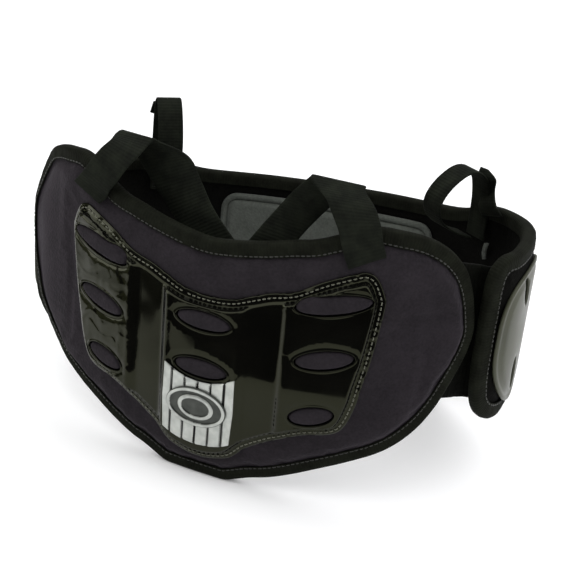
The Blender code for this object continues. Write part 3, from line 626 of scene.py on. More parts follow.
def swell(piece, pinned, cap):
    """Inflates a pad with Cloth and keeps the result, no point moved further than cap."""
    group = piece.vertex_groups.new(name="held_by_seams")
    for index, weight in enumerate(pinned):
        if weight > 0:
            group.add([index], float(weight), "REPLACE")
    cloth = piece.modifiers.new("Swelling", "CLOTH")
    cloth.settings.quality = 5
    cloth.settings.use_pressure = True
    cloth.settings.uniform_pressure_force = PRESSURE
    cloth.settings.effector_weights.gravity = 0.0
    cloth.settings.vertex_group_mass = group.name
    cloth.settings.shrink_min = -LOOSE
    cloth.settings.mass = 0.2
    cloth.settings.tension_stiffness = cloth.settings.compression_stiffness = 12.0
    cloth.settings.bending_stiffness = 0.6
    cloth.point_cache.frame_start, cloth.point_cache.frame_end = 1, SETTLED_FRAME
    for number in range(1, SETTLED_FRAME + 1):
        scene.frame_set(number)
    shown = piece.evaluated_get(bpy.context.evaluated_depsgraph_get())
    after, before = (np.zeros(len(piece.data.vertices) * 3) for _ in range(2))
    shown.data.vertices.foreach_get("co", after)
    piece.data.vertices.foreach_get("co", before)
    move = (after - before).reshape(-1, 3)
    length = np.linalg.norm(move, axis=1)
    limit = np.minimum(length, cap) / np.maximum(length, 1e-9)
    piece.modifiers.remove(cloth)
    piece.data.vertices.foreach_set("co", (before.reshape(-1, 3) + move * limit[:, None]).ravel())
    piece.data.update()
    scene.frame_set(1)
    print(piece.name, "swelled by up to", round(float((length * limit).max()) * 1000, 2), "mm")


def finer(piece):
    """Smooths a piece with a subdivision surface."""
    smoother = piece.modifiers.new("Smoother", "SUBSURF")
    smoother.levels = smoother.render_levels = 1


# %% [markdown]
# ### The front panel
# The panel is a foam sheet between two layers of knit. It is thin in the edging tape, thick
# inside it, and pressed into a groove by the seam round the plate. Its left end is thinner, so
# the tape shows there all the way round. A soft crease runs down its right side, where it has
# been folded over the hip.

# %% Front panel
LEFT_END, LEFT_TAPER = 0.176, 0.060
RIM_RINGS = (0.0015, 0.0045, 0.0095, 0.0125, 0.0160)
RIM_ROUND, CROWN_START, CROWN_END = 0.0012, 0.0098, 0.0170
WINDOW_RISE, WINDOW_DOME = 0.0060, 0.0007
PINNED_RIM, PINNED_LEFT, PAD_CAP = 0.0100, -0.128, 0.0022
CREASE_DEPTH, CREASE_WIDTH = 0.0009, 0.0045
CREASE = ((0.1470, 0.1880), (0.1490, 0.1650), (0.1500, 0.1240), (0.1480, 0.0880), (0.1390, 0.0570))


def crown(rim, height):
    """Out of a padded face, level at the rim and full inside the tape."""
    return height * ease((rim - CROWN_START) / (CROWN_END - CROWN_START))


def rim_round(rim):
    """How much each face is rounded off at the rim."""
    return RIM_ROUND * (1 - ease(rim / 0.0045))


rings = [inset(front_edge, distance) for distance in RIM_RINGS]
rings += [inset(plate_edge, -0.0022), plate_edge, inset(plate_edge, 0.003)]
for window in windows:
    rings += [oval(*window, grow=grow, points=44) for grow in (-0.0002, -0.0011, -0.0036)]
flat, faces = fill(rings, [], 0.0042)
rim = distance_to(front_edge, flat)
front = crown(rim, PAD_CROWN)
thinner = 1 - ease((flat[:, 0] + LEFT_END) / LEFT_TAPER)
front -= PAD_CROWN * np.where(flat[:, 0] < -0.100, thinner, 0.0) * (front > 0)
front = np.maximum(front, 0.0) - rim_round(rim)
for window in windows:
    within = -beyond_oval(flat, *window)
    bulge = WINDOW_RISE * ease((within - 0.0001) / 0.0009) + WINDOW_DOME * ease(within / 0.006)
    front += np.where(within > 0, bulge, 0.0)
crease = through(CREASE, 0.004)
away = np.min(np.linalg.norm(flat[:, None] - crease[None], axis=2), axis=1)
front -= CREASE_DEPTH * np.exp(-(away / CREASE_WIDTH) ** 2)
rear = rim_round(rim) - EDGE_THICKNESS
front_pad = slab("front_pad", flat, faces, on_front, front, rear, panel_knit,
                 "front_panel")
under_plate = inside(inset(plate_edge, -0.0024), flat)
held = np.where((rim < PINNED_RIM) | under_plate | (flat[:, 0] < PINNED_LEFT), 1.0, 0.0)
swell(front_pad, np.concatenate((held, np.ones(len(flat)))), PAD_CAP)
finer(front_pad)
print("front pad", len(front_pad.data.polygons), "faces")

# %% [markdown]
# ### The rear panel and its wings
# One long panel goes round the back, and its ends are the wings that lap outside the side
# bands. It has the same build as the front.

# %% Rear panel
WING_ALONG, WING_END, WING_BLEND, WING_CAP = 0.240, 0.266, 0.060, 0.0016


def wing_shift(along):
    """How far the wings stand out of the wall."""
    reach = np.minimum(along, PERIMETER - along)
    return WING_OUT * (1 - ease((reach - WING_END) / WING_BLEND))


rings = [inset(back_edge, distance) for distance in RIM_RINGS]
flat, faces = fill(rings, [], 0.0052)
rim = distance_to(back_edge, flat)
front = wing_shift(flat[:, 0]) + crown(rim, WING_CROWN) - rim_round(rim)
rear = wing_shift(flat[:, 0]) - EDGE_THICKNESS + rim_round(rim)
wing_knit = brushed_knit("black_polyester_knit", "#080807", "#0f0f0d", 0.01, 0.04)
back_pad = slab("back_pad", flat, faces, on_back, front, rear, wing_knit,
                "back_panel")
reach = np.minimum(flat[:, 0], PERIMETER - flat[:, 0])
on_wing_plate = (np.abs(reach - WING_ALONG) < 0.046) & (np.abs(flat[:, 1] - 0.107) < 0.057)
on_inside = (np.abs(flat[:, 0] - HALF_ROUND) < 0.100) | (reach < 0.30)
pinned_rim = rim < PINNED_RIM
swell(back_pad, np.concatenate((pinned_rim | on_wing_plate, pinned_rim | on_inside)), WING_CAP)
finer(back_pad)
print("back pad", len(back_pad.data.polygons), "faces")

# %% [markdown]
# ## Edging tape
# Woven tape is folded over the raw edges and stitched through. Its section is a rounded U that
# follows the outline. Between its stitches the tape puckers a little. A Bevel on a curve could
# make the section, but it would not follow the wall.

# %% Sweep the tape
TAPE_WIDTH, TAPE_HALF, TAPE_MIDDLE, TAPE_PLY = 0.0100, 0.0049, -0.0031, 0.0011
PUCKERS = ((0.00016, 0.0115), (0.00012, 0.0271))  # height and length


def tape_section():
    """Depth from the edge and out of the tape's closed section, outside first."""
    depths = np.array([1.0, 0.94, 0.75, 0.56, 0.42, 0.30, 0.19, 0.10, 0.04, 0.0]) * TAPE_WIDTH
    outer = [(value, half_thickness(value, TAPE_HALF)) for value in depths]
    outer += [(value, -half_thickness(value, TAPE_HALF)) for value in depths[-2::-1]]
    inner = [(value + TAPE_PLY, half_thickness(value, TAPE_HALF - TAPE_PLY)) for value in depths[1::2]]
    inner = [(min(value, TAPE_WIDTH - 0.0002), out) for value, out in inner]
    return outer + [(value, -out) for value, out in inner] + inner[::-1]


def half_thickness(value, full):
    """Half the folded tape's thickness at a depth from its edge."""
    share = np.clip((TAPE_HALF - value) / TAPE_HALF, 0.0, 1.0)
    return full * (1 - share ** 2.6) ** (1 / 2.6)


def tube_faces(count, sides, closed=True):
    """Faces between a row of rings, each with the same number of sides."""
    faces = []
    for index in range(count if closed else count - 1):
        start, after = index * sides, (index + 1) % count * sides
        for corner in range(sides):
            following = (corner + 1) % sides
            faces.append((start + corner, start + following, after + following, after + corner))
    return faces


def tape(name, outline, place, shift, node):
    """Folded tape round a closed outline."""
    run = run_along(outline)
    pucker = sum(high * np.sin(run * 2 * math.pi / long) for high, long in PUCKERS)
    section = tape_section()
    columns, uv = [], []
    for number, (value, out) in enumerate(section):
        points = inset(outline, value)
        lift = np.sign(out) * pucker * min(1.0, value / TAPE_HALF)
        level = TAPE_MIDDLE + out + lift + shift(points[:, 0])
        columns.append(place(points[:, 0], points[:, 1], level))
        uv.append(np.stack((np.full(len(run), number * 0.0012), run), -1))
    vertices = np.stack(columns, 1).reshape(-1, 3)
    piece = new_piece(name, vertices, tube_faces(len(run), len(section)), edge_tape, node)
    add_uv(piece, np.stack(uv, 1).reshape(-1, 2))
    return piece


front_tape = tape("front_tape", front_edge, on_front, lambda along: 0.0 * along, "front_binding")
back_tape = tape("back_tape", back_edge, on_back, wing_shift, "back_binding")
print("tape", len(front_tape.data.polygons), len(back_tape.data.polygons), "faces")

# %% [markdown]
# ## Stitching
# A row of lock stitches is a row of short threads, each a small capsule pressed into the cloth.
# One mesh holds a whole row. A particle system or an array on a curve would also do.

# %% Rows of stitches
TAPE_OUT, TAPE_SEAM = 0.0018, 0.0089
TAPE_STITCH, TAPE_PITCH = 0.0030, 0.0035
STITCH = (
    # share of the length, share of the width, lift
    (-0.5, 0.35, -0.6), (-0.32, 0.9, 0.1), (0.0, 1.0, 0.45), (0.32, 0.9, 0.1), (0.5, 0.35, -0.6))
STITCH_FACES = tube_faces(5, 6, closed=False) + [tuple(range(5, -1, -1)), tuple(range(24, 30))]


def stitches(name, path, place, out, material, length=0.0026, pitch=0.0036, wide=0.00045):
    """One mesh of short threads along a closed flat path."""
    run = run_along(path)
    vertices, faces = [], []
    for centre in np.arange(pitch / 2, run[-1] - pitch / 2, pitch):
        spots = [centre + offset * length for offset, _, _ in STITCH]
        places = np.stack([np.interp(spots, run, path[:, axis]) for axis in (0, 1)], -1)
        level = out(places)
        middle = place(places[:, 0], places[:, 1], level)
        above = place(places[:, 0], places[:, 1], level + 0.001) - middle
        first = len(vertices)
        for index, (_, share, sink) in enumerate(STITCH):
            normal = above[index] / np.linalg.norm(above[index])
            forward = middle[min(index + 1, 4)] - middle[max(index - 1, 0)]
            forward /= np.linalg.norm(forward)
            sideways = np.cross(normal, forward)
            for angle in range(6):
                turn = angle * math.pi / 3
                ring = math.cos(turn) * sideways + math.sin(turn) * normal
                vertices.append(middle[index] + wide * (share * ring + sink * normal))
        faces += [tuple(first + corner for corner in face) for face in STITCH_FACES]
    new_piece(name, vertices, faces, material)


def tape_out(points):
    return np.full(len(points), TAPE_OUT - 0.0001)


def back_tape_out(points):
    return tape_out(points) + wing_shift(points[:, 0])


stitches("front_tape_stitches", inset(front_edge, TAPE_SEAM), on_front, tape_out, tape_thread,
         TAPE_STITCH, TAPE_PITCH)
stitches("back_tape_stitches", inset(back_edge, TAPE_SEAM), on_back, back_tape_out, tape_thread,
         TAPE_STITCH, TAPE_PITCH)

# %% [markdown]
# ## The moulded plate
# The plate has a raised middle column, two lower strips where it bends, and two raised wings,
# all inside a flat sewn flange. The windows are dished, with a small lip. Level after level is
# added to one height, as a moulder would build up the tool.

# %% Plate levels
GAP = 0.0003
PLATE_BASE = PAD_CROWN + GAP
PLATE_FLANGE, PLATE_STRIP, PLATE_COLUMN = 0.0016, 0.0030, 0.0062
PLATE_SEAM = 0.0027
PLATE_RINGS = (0.0, 0.0008, 0.0050, 0.0055, 0.0061, 0.0067, 0.0074, 0.0084)
WINDOW_RINGS = (0.0007, 0.0014, 0.0026, 0.0048)


def plate_level(points):
    """Out of the plate's face above its back."""
    share = np.abs(points[:, 0] - PLATE_SHIFT) / PLATE_REACH
    raised = 1 - ease((share - 0.235) / 0.040) * (1 - ease((share - 0.445) / 0.040))
    height = PLATE_STRIP + (PLATE_COLUMN - PLATE_STRIP) * raised
    rim = distance_to(plate_edge, points)
    height = PLATE_FLANGE + (height - PLATE_FLANGE) * ease((rim - 0.0050) / 0.0024)
    for ridge in (0.224, 0.497):
        height += 0.0005 * np.exp(-((share - ridge) / 0.010) ** 2) * ease((rim - 0.006) / 0.004)
    for window in windows:
        beyond = beyond_oval(points, *window)
        height -= 0.0009 * (1 - ease((beyond - 0.0008) / 0.0048)) * ease((rim - 0.004) / 0.004)
        height += 0.0007 * np.exp(-((beyond - 0.0007) / 0.0006) ** 2)
    return np.where(rim < 0.0008, height * 0.55, height)


rings = [inset(plate_edge, distance) for distance in PLATE_RINGS]
window_rings = [oval(*window, grow=grow) for window in windows for grow in WINDOW_RINGS]
holes = [oval(*window) for window in windows]
free = [ring for ring in window_rings if distance_to(plate_edge, ring).min() > 0.0006]
flat, faces = fill(rings + free, holes, 0.0019)
level = plate_level(flat)
armour = slab("gloss_plate", flat, faces, on_front, PLATE_BASE + level, PLATE_BASE, plate_gloss,
              "armour_plate")
print("plate", len(armour.data.polygons), "faces")


def flange_out(points):
    return PLATE_BASE + plate_level(points) + 0.0001


stitches("plate_stitches", inset(plate_edge, PLATE_SEAM), on_front, flange_out, plate_thread,
         wide=0.00052)

# %% [markdown]
# ## The badge
# A silver inset is let into the lower end of the middle column. Its face is ribbed by upright
# grooves, whose faces are coloured near-black as painted shade, and a plain oval boss sits on it.

# %% Ribbed inset
BADGE_OUTLINE = (
    (0.000, 0.385), (0.074, 0.390), (0.143, 0.405), (0.222, 0.4345), (0.226, 0.270), (0.215, 0.121),
    (0.169, 0.103), (0.100, 0.088), (0.000, 0.080))
BADGE_BASE, BADGE_DEPTH = PLATE_BASE + PLATE_COLUMN + GAP, 0.0012
GROOVES = PLATE_SHIFT + 0.0096 * np.arange(-2, 3)


def on_sides(corners, step):
    """Evenly spaced points on the straight sides of a closed polygon."""
    points = []
    for start, end in zip(np.asarray(corners), np.roll(corners, -1, 0)):
        steps = max(1, round(math.dist(start, end) / step))
        points += [start + (end - start) * part / steps for part in range(steps)]
    return np.array(points)


half = [(along * PLATE_REACH, PLATE_BOTTOM + high * PLATE_HEIGHT) for along, high in BADGE_OUTLINE]
corners = [(PLATE_SHIFT - x, z) for x, z in half[1:-1]] + [(PLATE_SHIFT + x, z) for x, z in half[::-1]]
badge_edge = anticlockwise(on_sides(corners, 0.0012))
flat, faces = fill([badge_edge, inset(badge_edge, 0.0006)], [], 0.00085)
groove = np.min(np.abs(flat[:, :1] - GROOVES), axis=1)
face_out = BADGE_DEPTH - 0.0008 * (groove < 0.0006) - 0.0005 * (distance_to(badge_edge, flat) < 0.0004)
badge = slab("ribbed_badge", flat, faces, on_front, BADGE_BASE + face_out, BADGE_BASE, badge_silver,
             "badge")
badge.data.materials.append(groove_painted_shade)
for polygon in badge.data.polygons:
    flat_x = badge.data.uv_layers[0].data[polygon.loop_indices[0]].uv.x
    polygon.use_smooth = False
    # Faces in the grooves get the near-black, as painted shade.
    polygon.material_index = int(np.min(np.abs(flat_x - GROOVES)) < 0.0007)
print("badge", len(badge.data.polygons), "faces and", len(GROOVES), "grooves")

# %% [markdown]
# The boss is an oval ring round a smaller one. Both are silver; the two troughs and the boss's outer
# edge take a darker copy of the silver, which is painted shade.

# %% Boss
BOSS_CENTRE = (PLATE_SHIFT, PLATE_BOTTOM + 0.266 * PLATE_HEIGHT)
BOSS, INNER_RING = (BOSS_CENTRE, 0.0440, 0.0290, 0.0), (BOSS_CENTRE, 0.0262, 0.0186, 0.0)
boss_rings = [oval(*BOSS, grow=-step, points=72) for step in (0.0, 0.0005, 0.0026, 0.0030)]
boss_rings += [oval(*INNER_RING, grow=-step, points=60) for step in (-0.0004, 0.0, 0.0026, 0.0030)]
flat, faces = fill(boss_rings, [], 0.0012)
depth, inner = -beyond_oval(flat, *BOSS), -beyond_oval(flat, *INNER_RING)
boss_out = 0.0009 + 0.0007 * ease(depth / 0.0008) - 0.0010 * ease((depth - 0.0026) / 0.0006)
boss_out += 0.0010 * ease((inner + 0.0002) / 0.0005) - 0.0008 * ease((inner - 0.0026) / 0.0005)
boss_base = BADGE_BASE + BADGE_DEPTH + GAP
boss = slab("plain_boss", flat, faces, on_front, boss_base + boss_out, boss_base, badge_silver,
            "badge_boss")
boss.data.materials.append(boss_painted_shade)
flat_corners = boss.data.uv_layers[0].data
for polygon in boss.data.polygons:
    spot = np.mean([flat_corners[corner].uv[:] for corner in polygon.loop_indices], axis=0)
    depth, inner = -beyond_oval(spot[None], *BOSS)[0], -beyond_oval(spot[None], *INNER_RING)[0]
    # Polygons in the troughs and at the outer edge get the darker silver, as painted shade.
    if depth < 0.0005 or (depth > 0.0028 and inner < 0.0) or inner > 0.0028:
        polygon.material_index = 1
print("boss", len(boss.data.polygons), "faces")

# %% [markdown]
# ## Straps and loops
# Flat webbing is modelled directly: pairs of edge points give its two selvedges, a smooth curve
# runs through them, and a thin rounded section joins them. A remeshed, simulated strap would
# lose its thin section.

# %% Ribbons of webbing
WEBBING, RIBBON_STEP = 0.0016, 0.0042
SECTION = ((-1.0, 0.0), (-0.97, 0.8), (-0.88, 1.0), (-0.5, 1.0), (0.0, 1.0), (0.5, 1.0), (0.88, 1.0),
           (0.97, 0.8), (1.0, 0.0), (0.97, -0.8), (0.88, -1.0), (0.5, -1.0), (0.0, -1.0), (-0.5, -1.0),
           (-0.88, -1.0), (-0.97, -0.8))


def ribbon(name, first, second, node=None):
    """Webbing between two lines of selvedge points."""
    both = through(np.concatenate((first, second), 1), RIBBON_STEP)
    first, second = both[:, :3], both[:, 3:]
    middle = (first + second) / 2
    across = (second - first) / 2
    normal = np.cross(np.gradient(middle, axis=0), across)
    normal /= np.linalg.norm(normal, axis=1)[:, None]
    run = run_along(middle)
    columns, uv = [], []
    for wide, thick in SECTION:
        columns.append(middle + across * wide + normal * (WEBBING / 2 * thick))
        uv.append(np.stack((wide * np.linalg.norm(across, axis=1), run), -1))
    count, sides = len(middle), len(SECTION)
    faces = tube_faces(count, sides, closed=False)
    faces += [tuple(range(sides)), tuple(range(count * sides - 1, (count - 1) * sides - 1, -1))]
    piece = new_piece(name, np.stack(columns, 1).reshape(-1, 3), faces, strap_webbing, node)
    add_uv(piece, np.stack(uv, 1).reshape(-1, 2))
    return piece


# %% [markdown]
# ### The two straps
# Each strap is sewn to the front panel, goes up over the edging tape, turns over in a slanted
# fold and hangs down inside the belt. Each row gives one point of the outer selvedge and one of
# the inner: as along, height and out in a leg, and as x, y and z in the fold and in an arm.

# %% Straps
SEWN_OUT = 0.0073
RIGHT_LEG = (
    (0.1165, 0.1915, SEWN_OUT, 0.0945, 0.1805, SEWN_OUT),
    (0.1148, 0.1965, 0.0064, 0.0918, 0.1866, 0.0074),
    (0.1130, 0.2020, 0.0062, 0.0890, 0.1935, 0.0062),
    (0.1115, 0.2090, 0.0045, 0.0855, 0.2040, 0.0045),
    (0.1090, 0.2145, -0.0005, 0.0790, 0.2145, -0.0005),
    (0.1060, 0.2190, -0.0060, 0.0740, 0.2205, -0.0055))
LEFT_LEG = (
    (0.1110, 0.1915, SEWN_OUT, 0.0845, 0.1830, SEWN_OUT),
    (0.1070, 0.1960, 0.0067, 0.0806, 0.1876, 0.0046),
    (0.1020, 0.2020, 0.0062, 0.0765, 0.1940, 0.0062),
    (0.0960, 0.2115, 0.0045, 0.0700, 0.2040, 0.0045),
    (0.0925, 0.2190, -0.0005, 0.0655, 0.2130, 0.0010),
    (0.0910, 0.2235, -0.0070, 0.0620, 0.2205, -0.0060))
STRAP_FOLD = (
    (0.0920, -0.0690, 0.2240, 0.0585, -0.0790, 0.2270),
    (0.0910, -0.0660, 0.2255, 0.0570, -0.0760, 0.2290),
    (0.0890, -0.0635, 0.2240, 0.0550, -0.0730, 0.2270))
RIGHT_ARM = (
    (0.0730, -0.0670, 0.2120, 0.0450, -0.0765, 0.2150),
    (0.0590, -0.0730, 0.1940, 0.0350, -0.0810, 0.2000),
    (0.0510, -0.0815, 0.1800, 0.0255, -0.0860, 0.1850),
    (0.0440, -0.0855, 0.1660, 0.0170, -0.0880, 0.1710))
LEFT_ARM = (
    (-0.0720, -0.0650, 0.2050, -0.0330, -0.0720, 0.2215),
    (-0.0540, -0.0700, 0.1880, -0.0190, -0.0780, 0.2080),
    (-0.0330, -0.0790, 0.1740, -0.0060, -0.0830, 0.1930),
    (-0.0150, -0.0862, 0.1620, 0.0130, -0.0865, 0.1760))


def strap(name, side, leg, arm, node):
    """Strap from its sewn end to its free end inside the belt."""
    leg = np.array(leg)
    first = on_front(side * leg[:, 0], leg[:, 1], leg[:, 2])
    second = on_front(side * leg[:, 3], leg[:, 4], leg[:, 5])
    fold = np.array(STRAP_FOLD) * (side, 1, 1, side, 1, 1)
    rest = np.concatenate((fold, arm)) - (0, CENTRE_SHIFT, 0, 0, CENTRE_SHIFT, 0)
    ribbon(name, np.concatenate((first, rest[:, :3])), np.concatenate((second, rest[:, 3:])), node)


strap("right_strap", 1, RIGHT_LEG, RIGHT_ARM, "strap_right")
strap("left_strap", -1, LEFT_LEG, LEFT_ARM, "strap_left")

# %% [markdown]
# ### The two loops
# A loop of narrower webbing is sewn flat inside each wing. The right one has flopped inward and
# the left one stands taller.

# %% Loops
LOOP_FOOT, LOOP_HALF_WIDTH = 0.140, 0.010
LOOP_SEAT = EDGE_THICKNESS + TAPE_OUT + TAPE_PLY + WEBBING / 2
LOOP_PATH = (
    (0.000, 0.00), (0.000, 0.36), (0.020, 0.60), (0.100, 0.84), (0.300, 0.98), (0.560, 0.96),
    (0.860, 0.78), (1.000, 0.56), (0.900, 0.34), (0.560, 0.16), (0.240, 0.06))


def loop(name, along, height, bulge, node):
    """Loop of webbing on the inner face of a wing."""
    x, y = (float(value) for value in plan_point(along))
    normal = np.array([float(value) for value in outward(along)] + [0.0])
    tangent = np.array([-normal[1], normal[0], 0.0])
    foot = np.array([x, y, LOOP_FOOT + float(back_rise(x, LOOP_FOOT))]) - normal * LOOP_SEAT
    path = np.array([foot - normal * lean * bulge + (0, 0, rise * height) for lean, rise in LOOP_PATH])
    ribbon(name, path - tangent * LOOP_HALF_WIDTH, path + tangent * LOOP_HALF_WIDTH, node)


loop("right_loop", 0.335, 0.056, 0.046, "loop_right")
loop("left_loop", -0.327, 0.0817, 0.030, "loop_left")

# %% [markdown]
# The webbing of each loop goes on past its seam as a loose tail. The right tail is crumpled up
# behind its loop, and only a turned-up end of the left one shows. A small pale tab, faced with
# the lining's knit, stands inside the right wing.

# %% Loose tails and the tab
RIGHT_TAIL = (
    # along and height of one selvedge, then of the other, and out
    (0.3410, 0.2054, 0.3312, 0.2060, -0.0100), (0.3401, 0.1970, 0.3159, 0.2031, -0.0125),
    (0.3352, 0.1876, 0.3201, 0.1925, -0.0095), (0.3326, 0.1781, 0.3075, 0.1858, -0.0130),
    (0.3306, 0.1708, 0.3000, 0.1800, -0.0100))
LEFT_TAIL = (
    (-0.3126, 0.1974, -0.3220, 0.1947, -0.0100), (-0.3142, 0.2035, -0.3208, 0.2010, -0.0108),
    (-0.3155, 0.2065, -0.3190, 0.2068, -0.0100))
TAB = (
    (0.3219, 0.1380, 0.3178, 0.1397, -0.0086), (0.3224, 0.1440, 0.3177, 0.1460, -0.0098),
    (0.3229, 0.1507, 0.3175, 0.1528, -0.0086))


def wall_ribbon(name, rows):
    """Ribbon on the wall, from rows like those above."""
    rows = np.transpose(rows)
    return ribbon(name, on_wall(rows[0], rows[1], rows[4]), on_wall(rows[2], rows[3], rows[4]))


wall_ribbon("right_loop_tail", RIGHT_TAIL)
wall_ribbon("left_loop_tail", LEFT_TAIL)
tab = wall_ribbon("inner_tab", TAB)
tab.data.materials[0] = lining_knit

# %% [markdown]
# ## Side bands
# Behind the front panel and inside each wing runs a thin elastic band. It lies in loose upright
# folds, which two waves of different length give it.

# %% Side bands
BAND_BEHIND, BAND_THICKNESS, FOLD_HEIGHT = -0.0086, 0.0030, 0.0006


def side_band(name, side, top, fall, node):
    """Elastic band from behind the front panel to inside the wing."""
    corners = np.array(((0.146, 0.084), (0.262, 0.072), (0.262, top - fall), (0.146, top)))
    flat, faces = fill([on_sides(corners, 0.0024)], [], 0.0026)
    shape = BAND_BEHIND + WING_OUT * band_step(flat[:, 0])
    loose = ease((flat[:, 0] - 0.182) / 0.010) * (1 - ease((flat[:, 0] - 0.206) / 0.010))
    waves = np.sin(flat[:, 0] * 2 * math.pi / 0.0090 + 9 * flat[:, 1])
    waves += 0.5 * np.sin(flat[:, 0] * 2 * math.pi / 0.0053 - 14 * flat[:, 1])
    shape += FOLD_HEIGHT * waves * loose
    if side < 0:
        flat = flat * (-1, 1)
        faces = faces[:, ::-1]
    slab(name, flat, faces, on_front, shape, shape - BAND_THICKNESS, band_webbing, node)


side_band("right_band", 1, 0.1865, 0.0225, "side_band_right")
side_band("left_band", -1, 0.1620, 0.0060, "side_band_left")

# %% [markdown]
# ## Wing plates
# A shallow blunt oval shell of satin plastic is fixed to each wing. It has a thin raised rim
# and two dark slots in it for a strap.

# %% Wing plates
WING_HEIGHT, WING_SIZE, WING_BLUNT = 0.102, (0.084, 0.100), 3.4
WING_RINGS = (0.0, 0.0007, 0.0022, 0.0030, 0.0046, 0.0070)
SLOT_SIZE = (0.0100, 0.0250)
WING_SLOTS = (
    # towards the front, height, tilt
    (0.0120, 0.1360, 24.0), (0.0085, 0.0730, 8.0))


def wing_plate(name, side, node):
    """Blunt oval shell on a wing's outer face."""
    along = (side * WING_ALONG) % PERIMETER
    shell = ((along, WING_HEIGHT), *WING_SIZE, 0.0)
    slots = [oval((along - side * forward, height), *SLOT_SIZE, side * tilt, points=36)
             for forward, height, tilt in WING_SLOTS]
    rings = [oval(*shell, grow=-step, points=150, blunt=WING_BLUNT) for step in WING_RINGS]
    flat, faces = fill(rings, slots, 0.0022)
    depth = -beyond_oval(flat, *shell, blunt=WING_BLUNT)
    out = 0.0011 + 0.0009 * ease(depth / 0.0009) - 0.0006 * ease((depth - 0.0022) / 0.0009)
    out += 0.0010 * ease((depth - 0.0046) / 0.0040)
    base = wing_shift(flat[:, 0]) + WING_CROWN + GAP
    slab(name, flat, faces, on_back, base + out, base, wing_nylon, node)


wing_plate("right_wing_plate", 1, "wing_plate_right")
wing_plate("left_wing_plate", -1, "wing_plate_left")

# %% [markdown]
# ## The back lining
# A moulded foam pad is glued inside the back. Its edge is bevelled, a groove runs round it, and
# three upright channels let sweat and air through.

# %% Lining
LINING_REACH, LINING_BOTTOM, LINING_TOP, LINING_CORNER = 0.096, 0.046, 0.137, 0.014
LINING_OUT = -0.0065
LINING_RINGS = (0.0, 0.001, 0.002, 0.0044, 0.0050, 0.0054, 0.0058, 0.0066, 0.0094)
box = []
for number, (along_side, high_side) in enumerate(((1, 1), (-1, 1), (-1, -1), (1, -1))):
    along = HALF_ROUND + along_side * (LINING_REACH - LINING_CORNER)
    high = LINING_TOP - LINING_CORNER if high_side > 0 else LINING_BOTTOM + LINING_CORNER
    for step in range(9):
        angle = math.radians(90 * number + 11.25 * step)
        box.append((along + LINING_CORNER * math.cos(angle), high + LINING_CORNER * math.sin(angle)))
lining_edge = on_sides(box, 0.003)
flat, faces = fill([inset(lining_edge, distance) for distance in LINING_RINGS], [], 0.0034)
rim = distance_to(lining_edge, flat)
thick = 0.0014 + 0.0012 * ease(rim / 0.0020) + 0.0014 * ease((rim - 0.0058) / 0.0035)
thick -= 0.0018 * np.exp(-((rim - 0.0054) / 0.0009) ** 2)
for channel in (-0.048, 0.0, 0.048):
    away = flat[:, 0] - HALF_ROUND - channel
    thick -= 0.0009 * np.exp(-(away / 0.0022) ** 2) * ease((rim - 0.012) / 0.006)
lining = slab("back_lining_pad", flat, faces, on_back, LINING_OUT, LINING_OUT - thick, lining_knit,
              "back_lining")

# %% [markdown]
# ## The studio
# The object stands on a plain pale floor in a light tent: the roof of the tent glows, its sides
# are dimmer, and its open front is dark, because the gloss needs something dark to reflect. On
# the left the tent's olive cloth hangs in folds, which the left end of the gloss mirrors as
# streaks. The tent is painted on the world by direction, so the floor is lit evenly out to its
# far edge. Area lights alone would leave the far floor grey.
#
# The floor is a sheet of opal acrylic lit faintly from below, which softens the shadows.

# %% Floor
FLOOR_GLOW = 0.14


def floor_paint(name):
    material, tree, shader, where = start_material(
        name, Roughness=0.6, Specular_IOR_Level=0.2, Emission_Strength=FLOOR_GLOW,
        Emission_Color=linear("#ffffff"))
    cloud = add_node(tree, "ShaderNodeTexNoise", Vector=where, Scale=2.0, Detail=3.0)
    plug(tree, shader, Base_Color=tinted(tree, cloud, "#f3f3f3", "#f7f7f7"))
    return material


FLOOR_HALF = 9.0
floor_mesh = bpy.data.meshes.new("studio_floor")
corners = [(x * FLOOR_HALF, y * FLOOR_HALF, 0) for x, y in ((-1, -1), (1, -1), (1, 1), (-1, 1))]
floor_mesh.from_pydata(corners, [], [(0, 1, 2, 3)])
floor_mesh.materials.append(floor_paint("opal_acrylic_sheet"))
floor = bpy.data.objects.new("studio_floor", floor_mesh)
scene.collection.objects.link(floor)

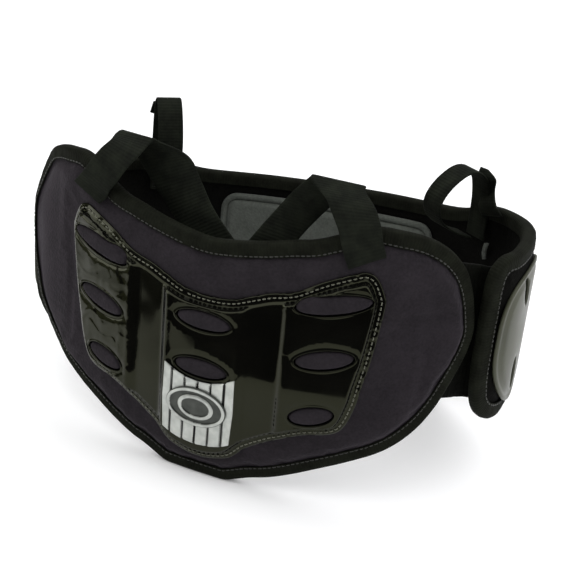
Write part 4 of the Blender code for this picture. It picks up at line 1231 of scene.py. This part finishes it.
# %% Tent and soft boxes
ROOF, SIDES, FRONT = 2.05, 0.55, 0.02
SMOOTH = {"interpolation_type": "SMOOTHSTEP"}
room = bpy.data.worlds.new("light_tent")
room.use_nodes = True
tree = room.node_tree
heading = add_node(tree, "ShaderNodeTexCoord").outputs["Generated"]
toward = add_node(tree, "ShaderNodeSeparateXYZ", _0=heading)
roof = add_node(tree, "ShaderNodeMapRange", SMOOTH, _0=toward.outputs[2], _1=0.58, _2=0.78)
front = add_node(tree, "ShaderNodeMapRange", SMOOTH, _0=toward.outputs[1], _1=-0.12, _2=-0.42)
leftward = add_node(tree, "ShaderNodeMapRange", SMOOTH, _0=toward.outputs[0], _1=-0.80, _2=-0.66)
front = add_node(tree, "ShaderNodeMath", {"operation": "MULTIPLY"}, _0=front, _1=leftward)
folds = add_node(tree, "ShaderNodeTexNoise", Vector=heading, Scale=5.0, Detail=2.0, Distortion=1.0)
folds = add_node(tree, "ShaderNodeMapRange", SMOOTH, _0=folds,
                 _1=0.42, _2=0.58, _3=0.04 * SIDES, _4=SIDES)
side = add_node(tree, "ShaderNodeMix", {"data_type": "FLOAT"}, Factor=leftward, _2=folds, _3=SIDES)
low = add_node(tree, "ShaderNodeMix", {"data_type": "FLOAT"}, Factor=front, _2=side, _3=FRONT)
glow = add_node(tree, "ShaderNodeMix", {"data_type": "FLOAT"}, Factor=roof, _2=low, _3=ROOF)
colour = add_node(tree, "ShaderNodeMix", {"data_type": "RGBA"}, Factor=leftward, _6=linear("#cfd3a4"),
                  _7=linear("#fdfdff"))
plug(tree, tree.nodes["Background"], Strength=glow, Color=colour.outputs[2])
scene.world = room


def softbox(name, place, aim, size, power):
    """Area light aimed at a point."""
    light = bpy.data.lights.new(name, "AREA")
    light.shape = "RECTANGLE"
    light.size, light.size_y = size
    light.energy = power
    lamp = bpy.data.objects.new(name, light)
    lamp.location = place
    lamp.rotation_euler = (Vector(aim) - Vector(place)).to_track_quat("-Z", "Y").to_euler()
    scene.collection.objects.link(lamp)


softbox("left_softbox", (-1.6, -0.7, 1.0), (0, 0, 0.1), (0.7, 1.2), 7)
softbox("right_softbox", (1.7, -0.5, 1.1), (0, 0, 0.1), (0.6, 1.2), 6)
scene.view_settings.view_transform = "Standard"
scene.view_settings.look = "None"
print("tent roof, sides, front", ROOF, SIDES, FRONT)
